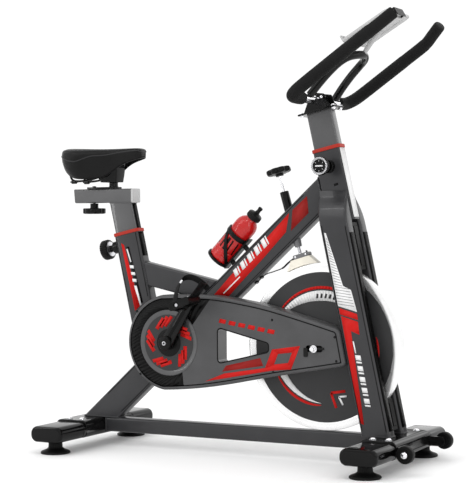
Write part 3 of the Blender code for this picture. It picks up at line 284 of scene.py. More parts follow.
def loft(rings, closed=False):
    """A skin over equal rings: capped at both ends, or closed on itself like a tube wall."""
    bm = bmesh.new()
    rows = [[bm.verts.new(point) for point in points] for points in rings]
    pairs = list(zip(rows, rows[1:]))
    if closed:
        pairs.append((rows[-1], rows[0]))
    for first, second in pairs:
        for i in range(len(first)):
            j = (i + 1) % len(first)
            bm.faces.new((first[i], first[j], second[j], second[i]))
    if not closed:
        bm.faces.new(rows[0])
        bm.faces.new(rows[-1])
    bmesh.ops.recalc_face_normals(bm, faces=bm.faces)
    return bm


def joined(*parts):
    """Several shapes as one bmesh."""
    whole = bmesh.new()
    for part in parts:
        mesh = bpy.data.meshes.new("part")
        part.to_mesh(mesh)
        part.free()
        whole.from_mesh(mesh)
        bpy.data.meshes.remove(mesh)
    return whole


def block(centre, fore, side, up, length, width, height, corner=0.0, steps=4):
    """A block with its length, width and height along three directions; its edges along side are rounded."""
    corner = corner or 0.0004
    outline = rounded_rectangle(length, height, corner, steps)
    ends = [ring(Vector(centre) + side * (s * width / 2), fore, up, outline) for s in (-1, 1)]
    return loft(ends)


def at_y(outline, y):
    return [Vector((x, y, z)) for x, z in outline]


def plate_xz(outline, y_from, y_to):
    return loft([at_y(outline, y) for y in (y_from, y_to)])


def mirrored(points):
    """The same points on the other side of the bike, in reverse order."""
    return [Vector((p.x, -p.y, p.z)) for p in reversed(points)]


def on_plane(start, direction, plane_point, normal):
    return start + direction * ((plane_point - start).dot(normal) / direction.dot(normal))


def tube_rings(start, end, width, depth, corner, wall, start_cut=None, end_cut=None):
    """Four rings of a hollow rectangular tube: outside start and end, then inside end and start."""
    direction = (end - start).normalized()
    along = direction.cross(Y_AXIS)
    cuts = ((start, start_cut), (end, end_cut))
    rings = []
    for inset, order in ((0, cuts), (wall, tuple(reversed(cuts)))):
        outline = rounded_rectangle(width - 2 * inset, depth - 2 * inset, corner - inset * 0.6)
        for centre, cut in order:
            points = ring(centre, Y_AXIS, along, outline)
            if cut:
                points = [on_plane(p, direction, cut[0], cut[1]) for p in points]
            rings.append(points)
    return rings


def turned_rings(profile, centre, axis, sides):
    axis = Vector(axis).normalized()
    across = axis.orthogonal().normalized()
    other = axis.cross(across)
    return [ring(Vector(centre) + axis * h, across, other, circle(max(r, 1e-5), sides)) for r, h in profile]


def turned(profile, centre, axis, sides=40):
    """A solid of revolution from (radius, distance along axis) pairs, closed with flat ends."""
    return loft(turned_rings(profile, centre, axis, sides))


def turned_ring(profile, centre, axis, sides=40):
    """A ring of revolution whose (radius, height) profile is a closed loop."""
    return loft(turned_rings(profile, centre, axis, sides), closed=True)


def fluted(profile, centre, axis, lobes, wave, per_lobe=6):
    """A solid of revolution whose outer wall is scalloped; wave is the depth for each profile point."""
    axis = Vector(axis).normalized()
    across = axis.orthogonal().normalized()
    other = axis.cross(across)
    sides = lobes * per_lobe
    rings = []
    for (radius, height), depth in zip(profile, wave):
        outline = []
        for i in range(sides):
            t = 2 * math.pi * i / sides
            r = radius + depth * (abs(math.cos(lobes * t / 2)) - 0.5)
            outline.append((r * math.cos(t), r * math.sin(t)))
        rings.append(ring(Vector(centre) + axis * height, across, other, outline))
    return loft(rings)


def smooth_path(points, steps):
    points = [Vector(p) for p in points]
    padded = [2 * points[0] - points[1]] + points + [2 * points[-1] - points[-2]]
    path = []
    for a, b, c, d in zip(padded, padded[1:], padded[2:], padded[3:]):
        square = 2 * a - 5 * b + 4 * c - d
        cube = 3 * b - a - 3 * c + d
        for i in range(steps):
            t = i / steps
            path.append(0.5 * (2 * b + (c - a) * t + square * t * t + cube * t**3))
    return path + [points[-1]]


def round_tube(path, radius, sides=20, closed=False):
    """A round bar along a path; the radius is one number, or one for each point of the path."""
    radii = radius if isinstance(radius, list) else [radius] * len(path)
    rings = []
    across = None
    for i, point in enumerate(path):
        if closed:
            ahead = (path[(i + 1) % len(path)] - path[i - 1]).normalized()
        else:
            ahead = (path[min(i + 1, len(path) - 1)] - path[max(i - 1, 0)]).normalized()
        across = ahead.orthogonal().normalized() if across is None else across
        across = (across - ahead * across.dot(ahead)).normalized()
        rings.append(ring(point, across, ahead.cross(across), circle(radii[i], sides)))
    return loft(rings, closed=closed)


def strap(route, across, width, thick):
    outline = rounded_rectangle(width, thick, thick * 0.4, 2)
    rings = []
    for i, point in enumerate(route):
        ahead = (route[min(i + 1, len(route) - 1)] - route[max(i - 1, 0)]).normalized()
        wide = (across - ahead * across.dot(ahead)).normalized()
        rings.append(ring(point, wide, ahead.cross(wide), outline))
    return loft(rings)


def piece(name, bm, material, body, nodes=(), bevel=0.0, sharp=40):
    """A finished piece, shaded and painted, that rides on its body and stands for its CAD nodes."""
    name = name + "_look" if name in NODES else name
    mesh = bpy.data.meshes.new(name)
    bm.to_mesh(mesh)
    bm.free()
    mesh.shade_smooth()
    mesh.set_sharp_from_angle(angle=math.radians(sharp))
    thing = bpy.data.objects.new(name, mesh)
    bpy.context.scene.collection.objects.link(thing)
    mesh.materials.append(MATERIALS[material])
    if bevel:
        soften(thing, bevel)
    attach(thing, body)
    if nodes:
        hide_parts(*nodes)
    return thing


def soften(thing, width, angle=40):
    modifier = thing.modifiers.new("edges", "BEVEL")
    modifier.width = width
    modifier.segments = 3
    modifier.limit_method = "ANGLE"
    modifier.angle_limit = math.radians(angle)
    modifier.harden_normals = True


def thicken(thing, depth):
    """Gives a sheet a thickness behind its face."""
    modifier = thing.modifiers.new("thickness", "SOLIDIFY")
    modifier.thickness = depth
    modifier.offset = -1


def marks(name, body, origin, across, up, shapes, lift=FLAT_LIFT):
    """Thin raised shapes on a flat face, as one object: (material, outline) pairs."""
    normal = across.cross(up).normalized()
    bm = bmesh.new()
    used = []
    for material, outline in shapes:
        if material not in used:
            used.append(material)
        points = [origin + across * a + up * b + normal * lift for a, b in outline]
        face = bm.faces.new([bm.verts.new(p) for p in points])
        face.normal_update()
        if face.normal.dot(normal) < 0:
            face.normal_flip()
        face.material_index = used.index(material)
    bmesh.ops.triangulate(bm, faces=bm.faces)
    thing = piece(name, bm, used[0], body)
    for material in used[1:]:
        thing.data.materials.append(MATERIALS[material])
    thicken(thing, lift * 0.8)


def side_marks(name, side, y, shapes, lift=FLAT_LIFT):
    """Marks on a frame face that looks sideways, drawn in X and Z."""
    placed = [(material, [(-x * side, z) for x, z in outline]) for material, outline in shapes]
    marks(name, "frame", Vector((0, side * y, 0)), X_AXIS * -side, Z_AXIS, placed, lift)


def slanted_bars(start, along, square, pitch, count, spans, lean, tall, growth=0.0):
    """A row of white bars that lean forwards; spans are each bar's start and end along the row."""
    along, square = Vector(along), Vector(square)
    bars = []
    for k in range(count):
        foot = Vector(start) + along * (pitch * k)
        rise = along * lean + square * (tall + growth * k)
        for first, last in spans:
            low, high = foot + along * first, foot + along * last
            bars.append(("mark_white_and_painted_highlight", [tuple(p) for p in (low, high, high + rise, low + rise)]))
    return bars


def keep_node(node, material, bevel=0.0):
    """A CAD node whose shape is right gets its finish."""
    thing = NODES[node]
    thing.data.materials.clear()
    thing.data.materials.append(MATERIALS[material])
    if bevel:
        weld = thing.modifiers.new("weld", "WELD")
        weld.merge_threshold = 0.00001
        soften(thing, bevel, 50)


def bolt_head(centre, axis, radius, height):
    """A domed carriage bolt head."""
    angles = [math.radians(9 * i) for i in range(10)]
    dome = [(radius * math.cos(a), height * math.sin(a)) for a in angles]
    return turned([(radius * 1.02, -0.001)] + dome, centre, axis, 24)


def hex_nut(centre, axis, radius, height):
    flats = turned([(radius, 0), (radius, height * 0.85), (radius * 0.86, height)], centre, axis, 6)
    stud = turned([(radius * 0.45, height * 0.9), (radius * 0.42, height * 1.5)], centre, axis, 16)
    return joined(flats, stud)


def weld_bead(name, points, radius=0.0020):
    """A weld bead round a joint: a closed bead with small ripples."""
    path = []
    for a, b in zip(points, points[1:] + points[:1]):
        count = max(1, int((b - a).length / 0.0016))
        path += [a.lerp(b, i / count) for i in range(count)]
    radii = [radius * (1 + 0.16 * math.sin(2.2 * i)) for i in range(len(path))]
    return piece(name, round_tube(path, radii, 8, closed=True), "charcoal_paint", "frame")


# ---------------------------------------------------------------- frame


def beam_top_plane(gap=GAP):
    return (BEAM_POINT + BEAM_OUT * (TUBE_DEPTH / 2 + gap), BEAM_OUT)


def brake_point(radius):
    return WHEEL_AXIS + BRAKE_UP * radius


def frame_tube(name, start, end, width, depth, start_cut, end_cut, beads=()):
    """A hollow tube of the frame; beads names the ends, 0 or 1, that are welded."""
    rings = tube_rings(start, end, width, depth, TUBE_CORNER, TUBE_WALL, start_cut, end_cut)
    piece(name, loft(rings, closed=True), "charcoal_paint", "frame", [name])
    for place in beads:
        weld_bead(f"{name}_weld_{place}", rings[place])


def build_tubes():
    floor_cut = (Vector((0, 0, BRACKET_TOP_Z + GAP)), Z_AXIS)
    head_rear = (HEAD_TUBE_TOP - POST_FORE * (TUBE_DEPTH / 2 + GAP), POST_FORE)
    low = BEAM_POINT - BEAM_UP * 0.75
    high = BEAM_POINT + BEAM_UP * 0.2
    frame_tube("main_beam", low, high, TUBE_WIDTH, TUBE_DEPTH, floor_cut, head_rear, beads=(0, 1))
    low = HEAD_TUBE_TOP - POST_UP * 0.198
    frame_tube("head_tube", low, HEAD_TUBE_TOP, TUBE_WIDTH, TUBE_DEPTH, None, None)
    low = SEAT_TUBE_TOP - POST_UP * 0.25
    frame_tube("seat_tube", low, SEAT_TUBE_TOP, TUBE_WIDTH, TUBE_DEPTH, beam_top_plane(), None, beads=(0,))
    slope = Vector((0.2332, 0, -0.0515)).normalized()
    below = Vector((slope.z, 0, -slope.x))
    start = Vector((-0.3023, 0, 0.5386)) + below * 0.0325 - slope * 0.03
    rear_cut = (SEAT_TUBE_TOP + POST_FORE * (TUBE_DEPTH / 2 + GAP), POST_FORE)
    end = start + slope * 0.30
    frame_tube("seat_brace", start, end, 0.038, 0.065, rear_cut, beam_top_plane(), beads=(0, 1))
    rear = Vector((REAR_FOOT_X + FOOT_WIDTH / 2 + GAP, 0, 0.0635))
    front = Vector((FRONT_FOOT_X - FOOT_WIDTH / 2 - GAP, 0, 0.0635))
    frame_tube("base_tube", rear, front, TUBE_WIDTH, 0.042, None, None, beads=(0, 1))


def leg_x(z):
    return LEG_POINT.x + (LEG_POINT.z - z) * math.tan(LEG_LEAN)


def leg_ring(z, side, outer, inner):
    centre = Vector((leg_x(z), side * (outer + inner) / 2, z))
    outline = rounded_rectangle(outer - inner, TUBE_DEPTH / math.cos(LEG_LEAN), TUBE_CORNER)
    return ring(centre, Y_AXIS * side, X_AXIS, outline)


def build_legs():
    stations = [
        (0.630, LEG_OUTER_Y, LEG_INNER_Y),
        (0.646, 0.0643, LEG_INNER_Y - 0.0003),
        (0.662, 0.0622, 0.0203),
        (0.680, 0.0562, 0.0203),
        (0.698, 0.0455, 0.0203),
        (0.716, 0.0325, 0.0203),
        (LEG_TOP_Z, 0.0232, 0.0203),
    ]
    bend = smooth_path([Vector(s) for s in stations], 4)
    low = BRACKET_TOP_Z + GAP
    for hand, side in HANDS:
        name = hand + "_leg"
        rings = [leg_ring(0.60, side, LEG_OUTER_Y - 0.002, LEG_INNER_Y + 0.002)]
        rings.append(leg_ring(low, side, LEG_OUTER_Y - 0.002, LEG_INNER_Y + 0.002))
        rings.append(leg_ring(low, side, LEG_OUTER_Y, LEG_INNER_Y))
        rings += [leg_ring(v.x, side, v.y, max(v.z, 0.0203)) for v in bend]
        piece(name, loft(rings), "charcoal_paint", "frame", [name])
        weld_bead(name + "_weld", leg_ring(low + 0.0005, side, LEG_OUTER_Y, LEG_INNER_Y))
    for name, low, high in (("upper_leg_panel", 0.516, 0.643), ("lower_leg_panel", 0.092, 0.174)):
        middle = (low + high) / 2
        centre = Vector((leg_x(middle), 0, middle)) + LEG_FORE * (TUBE_DEPTH / 2 - 0.0075)
        length = (high - low) / math.cos(LEG_LEAN)
        sheet = block(centre, LEG_DOWN, Y_AXIS, LEG_FORE, length, 2 * LEG_INNER_Y - 0.003, 0.003)
        rib_at = centre + LEG_FORE * 0.001
        rib = block(rib_at, LEG_DOWN, Y_AXIS, LEG_FORE, length - 0.02, 0.022, 0.004, 0.0015)
        piece(name, joined(sheet, rib), "panel_paint_and_painted_shade", "frame", [name], bevel=0.0005)


def build_cross_foot(name, x):
    core = rounded_rectangle(FOOT_WIDTH - 0.008, FOOT_HEIGHT - 0.008, 0.018, 8)
    tube = loft([ring((x, y, FOOT_Z), X_AXIS, Z_AXIS, core) for y in (-FOOT_CORE_HALF, FOOT_CORE_HALF)])
    mid_z = (BRACKET_TOP_Z + BRACKET_BOTTOM_Z) / 2
    height = BRACKET_TOP_Z - BRACKET_BOTTOM_Z
    ends = [(0.0, 0.004), (0.0003, 0.001), (0.001, 0.0)]
    stations = [(back - BRACKET_HALF, inset) for back, inset in ends]
    stations += [(BRACKET_HALF - back, inset) for back, inset in reversed(ends)]
    rings = []
    for y, inset in stations:
        outline = rounded_rectangle(FOOT_WIDTH - inset, height - inset, 0.016, 8)
        rings.append(ring((x, y, mid_z), X_AXIS, Z_AXIS, outline))
    bracket = loft(rings)
    piece(name, joined(tube, bracket), "gloss_black_paint", "frame", [name], bevel=0.0012)
    bolts = []
    for side in (-1, 1):
        for end in (-1, 1):
            at = Vector((x + end * BRACKET_BOLT[0], side * BRACKET_BOLT[1], BRACKET_TOP_Z))
            bolts.append(turned([(0.0095, 0), (0.0095, 0.0012), (0.0085, 0.0014)], at, Z_AXIS, 24))
            bolts.append(bolt_head(at + Z_AXIS * 0.0014, Z_AXIS, 0.0072, 0.0045))
    piece(name + "_bolts", joined(*bolts), "chrome_plate", "frame")


def build_foot_cap(name, x, side):
    """A moulded sleeve with a domed end and a raised lip where it starts."""
    rings = []
    for y, inset, corner in (
        (FOOT_CORE_HALF + 0.0005, 0.0074, 0.0173),
        (BRACKET_HALF + GAP, 0.0074, 0.0173),
        (BRACKET_HALF + GAP, 0.0006, FOOT_CORNER),
        (BRACKET_HALF + 0.0010, 0.0, FOOT_CORNER),
        (BRACKET_HALF + 0.0120, 0.0, FOOT_CORNER),
        (BRACKET_HALF + 0.0128, 0.0016, FOOT_CORNER),
        (BRACKET_HALF + 0.0142, 0.0016, FOOT_CORNER),
        (BRACKET_HALF + 0.0150, 0.0, FOOT_CORNER),
        (FOOT_CAP_END - 0.0100, 0.0, FOOT_CORNER),
        (FOOT_CAP_END - 0.0050, 0.0012, FOOT_CORNER),
        (FOOT_CAP_END - 0.0015, 0.0050, 0.018),
        (FOOT_CAP_END - 0.0002, 0.0100, 0.016),
        (FOOT_CAP_END, 0.0160, 0.014),
    ):
        outline = rounded_rectangle(FOOT_WIDTH - inset, FOOT_HEIGHT - inset, corner, 8)
        rings.append(ring((x, side * y, FOOT_Z), X_AXIS, Z_AXIS, outline))
    piece(name, loft(rings), "gloss_black_plastic", "frame", [name], sharp=30)


def build_leveller(name, x, side):
    centre = Vector((x, side * LEVELLER_Y, 0))
    top = FOOT_Z - FOOT_HEIGHT / 2 - GAP
    profile = [(0.0395, 0.0), (0.0412, 0.0006), (0.0420, 0.0022), (0.0414, 0.0052), (0.0385, 0.0075)]
    profile += [(0.0300, 0.0108), (0.0235, 0.0140), (0.0205, 0.0170), (0.0195, 0.0205), (0.0190, 0.0300)]
    profile += [(0.0190, top)]
    wave = [0, 0.0004, 0.0008, 0.0008, 0.0006, 0, 0, 0, 0.0012, 0.0012, 0.0012]
    piece(name, fluted(profile, centre, Z_AXIS, 24, wave), "black_rubber", name, [name], sharp=60)


def build_transport_wheel(name, side):
    x, y, z = TRANSPORT_WHEEL
    centre = Vector((x, side * y, z))
    half, rim = 0.0100, 0.0232
    profile = [(0.0043, -half), (0.0105, -half), (0.0115, -half + 0.002), (0.0160, -half + 0.002)]
    profile += [(0.0172, -half), (rim - 0.003, -half), (rim - 0.0008, -half + 0.001), (rim, -half + 0.0035)]
    profile += [(rim, half - 0.0035), (rim - 0.0008, half - 0.001), (rim - 0.003, half), (0.0172, half)]
    profile += [(0.0160, half - 0.002), (0.0115, half - 0.002), (0.0105, half), (0.0043, half)]
    piece(name, turned_ring(profile, centre, Y_AXIS, 48), "black_rubber", name, [name], sharp=35)
    ear = block((0.5305, side * 0.115, 0.057), X_AXIS, Y_AXIS, Z_AXIS, 0.052, 0.005, 0.026, 0.010, 8)
    collar = turned([(0.0070, -0.0262), (0.0070, -0.0105)], centre, Y_AXIS * side, 28)
    piece(name + "_ear", joined(ear, collar), "gloss_black_paint", "frame", bevel=0.0006)
    head = turned([(0.0085, half + 0.0006), (0.0085, half + 0.0016)], centre, Y_AXIS * side, 28)
    dome = bolt_head(centre + Y_AXIS * side * (half + 0.0016), Y_AXIS * side, 0.0070, 0.0036)
    rod = turned([(0.0040, -0.012), (0.0040, half + 0.001)], centre, Y_AXIS * side, 20)
    piece(name + "_bolt", joined(head, dome, rod), "chrome_plate", "frame")


def build_feet():
    for place, x in (("rear", REAR_FOOT_X), ("front", FRONT_FOOT_X)):
        build_cross_foot(place + "_cross_foot", x)
        for hand, side in HANDS:
            build_foot_cap(f"{place}_{hand}_foot_cap", x, side)
            build_leveller(f"{place}_{hand}_leveller", x, side)
    for hand, side in HANDS:
        build_transport_wheel(hand + "_transport_wheel", side)


# ---------------------------------------------------------------- drive


def cover_outline(inset=0.0):
    """The chain cover's edge, anticlockwise, moved inwards by a distance."""
    outline = []
    for step in range(49):
        spoke = sloped(math.radians(100 + step * (262 - 100) / 48)) * COVER_ROUND
        outline.append((CRANK_AXIS.x + spoke.x, CRANK_AXIS.z + spoke.z))
    lower = [(-0.200, 0.1790), (-0.110, 0.1875), (-0.015, 0.2020), (0.138, 0.2320), (0.300, 0.2600)]
    upper = [(0.300, 0.3745), (0.140, 0.4165), (0.045, 0.4350), (-0.060, 0.4480), (-0.190, 0.4495)]
    nose = [(0.3330, 0.2660), (0.3420, 0.2690), (0.3460, 0.2735), (0.3462, 0.2790), (0.3325, 0.3500)]
    nose += [(0.3300, 0.3590), (0.3250, 0.3650), (0.3180, 0.3690)]
    outline += [(p.x, p.z) for p in smooth_path(at_y(lower, 0), 5)[1:-1]] + nose
    outline += [(p.x, p.z) for p in smooth_path(at_y(upper, 0), 5)[1:-1]]
    if not inset:
        return outline
    moved = []
    for i, (x, z) in enumerate(outline):
        before, after = outline[i - 1], outline[(i + 1) % len(outline)]
        tangent = Vector((after[0] - before[0], after[1] - before[1])).normalized()
        moved.append((x - tangent.y * inset, z + tangent.x * inset))
    return moved


COVER_WINDOW = [(-0.0365, 0.2625), (0.1190, 0.2990), (0.1190, 0.3210), (-0.0365, 0.3590)]


def window_outline(grow=0.0):
    """The cover's window, anticlockwise, with rounded corners; grow moves its edge outwards."""
    points = []
    corners = [Vector(c) for c in COVER_WINDOW]
    for i, corner in enumerate(corners):
        before = (corners[i - 1] - corner).normalized()
        after = (corners[(i + 1) % 4] - corner).normalized()
        half = before.angle(after) / 2
        radius = 0.0085
        middle = corner + (before + after).normalized() * (radius / math.sin(half))
        first = corner + before * (radius / math.tan(half)) - middle
        sweep = math.pi - 2 * half
        for step in range(7):
            turn = sweep * step / 6
            c, n = math.cos(turn), math.sin(turn)
            spoke = Vector((first.x * c - first.y * n, first.x * n + first.y * c))
            points.append(tuple(middle + spoke * (1 + grow / radius)))
    return points


def cut(thing, bm):
    """Takes a shape out of a piece for good."""
    if bm.calc_volume(signed=True) < 0:
        bmesh.ops.reverse_faces(bm, faces=bm.faces)
    mesh = bpy.data.meshes.new("cutter")
    bm.to_mesh(mesh)
    bm.free()
    cutter = bpy.data.objects.new("cutter", mesh)
    bpy.context.scene.collection.objects.link(cutter)
    modifier = thing.modifiers.new("cut", "BOOLEAN")
    modifier.operation = "DIFFERENCE"
    modifier.solver = "MANIFOLD"
    modifier.object = cutter
    bpy.context.view_layer.update()
    result = bpy.data.meshes.new_from_object(thing.evaluated_get(bpy.context.evaluated_depsgraph_get()))
    thing.modifiers.remove(modifier)
    thing.data = result
    bpy.data.objects.remove(cutter)


def build_cover():
    stations = [
        (COVER_Y + 0.0025, 0.0055),
        (COVER_Y + 0.0055, 0.0025),
        (-0.0221, 0.0025),
        (-0.0221, 0.0),
        (-0.0380, 0.0),
        (-0.0384, 0.0006),
        (-0.0390, 0.0006),
        (-0.0394, 0.0),
        (COVER_Y + 0.0100, 0.0),
        (COVER_Y + 0.0050, 0.0008),
        (COVER_Y + 0.0022, 0.0026),
        (COVER_Y + 0.0006, 0.0056),
        (COVER_Y, 0.0090),
    ]
    rings = [at_y(cover_outline(inset), y) for y, inset in stations]
    cover = piece("outer_chain_cover", loft(rings), "cover_plastic", "frame", ["outer_chain_cover"], sharp=50)
    cut(cover, plate_xz(window_outline(), COVER_Y - 0.01, COVER_Y + 0.01))
    cut(cover, turned([(0.0120, -0.02), (0.0120, 0.02)], CRANK_AXIS + Y_AXIS * COVER_Y, Y_AXIS, 32))
    slot = block(WHEEL_AXIS + Y_AXIS * COVER_Y, X_AXIS, Y_AXIS, Z_AXIS, 0.050, 0.02, 0.018, 0.007)
    cut(cover, slot)
    tail_gap = [(0.315, 0.2884), (0.36, 0.2884), (0.36, 0.3346), (0.315, 0.3346)]
    cut(cover, plate_xz(tail_gap, -0.0424, -0.02))
    # The window's black lip, and the well behind it that joins the two cover halves.
    face, proud, back = COVER_Y + 0.001, COVER_Y - 0.0006, -0.0216
    corners = ((face, 0.0), (proud, 0.0), (proud, 0.0032), (face, 0.0036))
    lip = [at_y(window_outline(grow), y) for y, grow in corners]
    piece("cover_window_lip", loft(lip, closed=True), "mark_black_and_painted_shade", "frame", sharp=60)
    face = COVER_Y + 0.0002
    corners = ((face, -0.0002), (back, -0.0002), (back, 0.0016), (face, 0.0016))
    tunnel = [at_y(window_outline(grow), y) for y, grow in corners]
    piece("cover_window_tunnel", loft(tunnel, closed=True), "grey_paint", "frame", sharp=60)
    # The dish round the crank: a bright bevel, a dark floor and a hub ring.
    bevel = [(0.0925, 0.0004), (0.0918, -0.0012), (0.0800, -0.0008), (0.0785, 0.0004)]
    hub = CRANK_AXIS + Y_AXIS * COVER_Y
    piece("cover_dish_bevel", turned_ring(bevel, hub, Y_AXIS, 96), "grey_paint", "frame", sharp=50)
    floor = [(0.0790, 0.0003), (0.0790, -0.0004), (0.0390, -0.0004), (0.0390, 0.0003)]
    piece("cover_dish_floor", turned_ring(floor, hub, Y_AXIS, 96), "wheel_paint", "frame")
    boss = [(0.0125, 0.0003), (0.0125, -0.0022), (0.0330, -0.0022), (0.0385, -0.0012), (0.0395, 0.0003)]
    piece("cover_dish_hub", turned_ring(boss, hub, Y_AXIS, 72), "black_plastic", "frame")
    screws = []
    places = [(0.1318, 0.3859), (0.1337, 0.2440), (-0.300, 0.400), (-0.290, 0.222)]
    places += [(0.318, 0.345), (0.322, 0.281)]
    for x, z in places:
        screws.append(bolt_head(Vector((x, COVER_Y, z)), -Y_AXIS, 0.0036, 0.0012))
    piece("cover_screws", joined(*screws), "gloss_black_plastic", "frame")


def nearest(outline, x, z):
    """Which point of an outline is nearest to a place."""
    return min(range(len(outline)), key=lambda i: (outline[i][0] - x) ** 2 + (outline[i][1] - z) ** 2)


def border_marks():
    """The black border of the cover: its round end down to the dish, ending on a slant, and its edge line."""
    shapes = []
    edge = cover_outline(0.0095)
    start, stop = nearest(edge, -0.0600, 0.4400), nearest(edge, -0.1250, 0.1950)
    outer = edge[start:] + edge[:stop] if start > stop else edge[start:stop]
    count = 40
    inner = []
    for step in range(count + 1):
        spoke = CRANK_AXIS + sloped(math.radians(-62 - step * (360 - 62 - 34) / count)) * DISH_RADIUS
        inner.append((spoke.x, spoke.z))
    for i in range(count):
        a = outer[int(i * (len(outer) - 1) / count)]
        b = outer[int((i + 1) * (len(outer) - 1) / count)]
        ends = [inner[count - i - 1], inner[count - i]]
        shapes.append(("mark_black_and_painted_shade", [a, b] + ends if a != b else [a] + ends))
    low, high = cover_outline(0.0092), cover_outline(0.0125)
    for i in range(len(low)):
        shapes.append(("mark_black_and_painted_shade", [low[i - 1], low[i], high[i], high[i - 1]]))
    return shapes


def cover_red_marks():
    """The wedge, the open diamond and the row of dashes."""
    wedge = [(-0.0784, 0.2095), (-0.0180, 0.2340), (0.1094, 0.2545), (0.1369, 0.2652), (0.1793, 0.2709)]
    wedge += [(0.1882, 0.2537), (0.1300, 0.2480), (0.0500, 0.2330)]
    shapes = [("mark_red", wedge)]
    outside = [(0.1094, 0.2545), (0.1312, 0.3057), (0.2156, 0.3181), (0.1882, 0.2537)]
    inside = [(0.1369, 0.2652), (0.1493, 0.2941), (0.1916, 0.2997), (0.1793, 0.2709)]
    for i in range(3):
        shapes.append(("mark_red", [outside[i], outside[i + 1], inside[i + 1], inside[i]]))
    dull = [(-0.0115, 0.2560), (0.0950, 0.2810), (0.1040, 0.2600), (-0.0240, 0.2390)]
    shapes.append(("mark_dull_red", dull))
    for k in range(6):
        x = -0.034 + 0.0300 * k
        z = 0.3800 - 0.0048 * k
        quad = [(x, z - 0.0055), (x + 0.0205, z - 0.0090), (x + 0.0245, z + 0.0022), (x + 0.004, z + 0.0055)]
        shapes.append(("mark_red", quad))
    return shapes


def dish_bars():
    """Five groups of three red bars in the dish round the crank, kept between its hub and its bevel."""
    hub = Vector((CRANK_AXIS.x, CRANK_AXIS.z))
    half_length, half_width = 0.0190, 0.0056
    bars = []
    for group in range(5):
        theta = math.radians(104 + 72 * group)
        lean = theta - math.radians(50)
        along = Vector((math.cos(lean), math.sin(lean)))
        square = Vector((-along.y, along.x))
        for k in (-1, 0, 1):
            middle = Vector(polar(0.0600, theta + math.radians(13.5 * k)))
            quad = []
            for a, b in ((-1, -1), (1, -1), (1, 1), (-1, 1)):
                reach = middle + along * (a * half_length) + square * (b * half_width)
                quad.append(tuple(hub + reach.normalized() * max(0.0440, min(0.0765, reach.length))))
            bars.append(("mark_red", quad))
    return bars


def build_cover_marks():
    face = Vector((0, COVER_Y, 0))
    marks("cover_marks", "frame", face, X_AXIS, Z_AXIS, border_marks() + cover_red_marks())
    marks("cover_dish_bars", "frame", face - Y_AXIS * 0.0004, X_AXIS, Z_AXIS, dish_bars())


def build_crank(name, side):
    angle = CRANK_ANGLE if side < 0 else CRANK_ANGLE + math.pi
    out = sloped(angle)
    square = leaned(angle)
    end = CRANK_AXIS + out * CRANK_LENGTH
    outward = Y_AXIS * side
    rings = []
    for y, grow in ((0.0745, -0.0012), (0.0757, 0.0), (0.0872, 0.0), (0.0890, -0.0018)):
        points = []
        for centre, radius, first in ((CRANK_AXIS, 0.0190, 90), (end, 0.0130, -90)):
            for i in range(17):
                turn = math.radians(first + 180 * i / 16)
                spoke = out * math.cos(turn) + square * math.sin(turn)
                points.append(centre + spoke * (radius + grow) + outward * y)
        rings.append(points)
    piece(name, loft(rings), "gloss_black_paint", "crankset", [name], sharp=50)
    # The groove is drawn as a thin dull black strip on the arm's face: painted shade standing in for a recess.
    groove_shade_at = CRANK_AXIS + out * 0.066 + outward * 0.0892
    groove_shade = block(groove_shade_at, out, outward, square, 0.088, 0.0006, 0.010, 0.0045, 8)
    piece(name + "_groove", groove_shade, "mark_black_and_painted_shade", "crankset")
    hub = [(0.0200, 0.088), (0.0200, 0.0935), (0.0188, 0.0955), (0.0160, 0.0970)]
    hub = turned(hub, CRANK_AXIS, outward, 40)
    piece(name + "_hub", hub, "black_plastic", "crankset", sharp=30)
    cap = [(0.0060, 0.0965), (0.0056, 0.0978), (0.0034, 0.0980), (0.0030, 0.0966)]
    cap = turned(cap, CRANK_AXIS, outward, 32)
    pin = turned([(0.0060, 0.0870), (0.0060, 0.1530), (0.0045, 0.1570)], end, outward, 24)
    nut = turned([(0.0090, 0.0890), (0.0090, 0.0925)], end, outward, 6)
    piece(name + "_pin", joined(cap, pin, nut), "brushed_steel", "crankset", sharp=35)
    build_pedal(side, end)


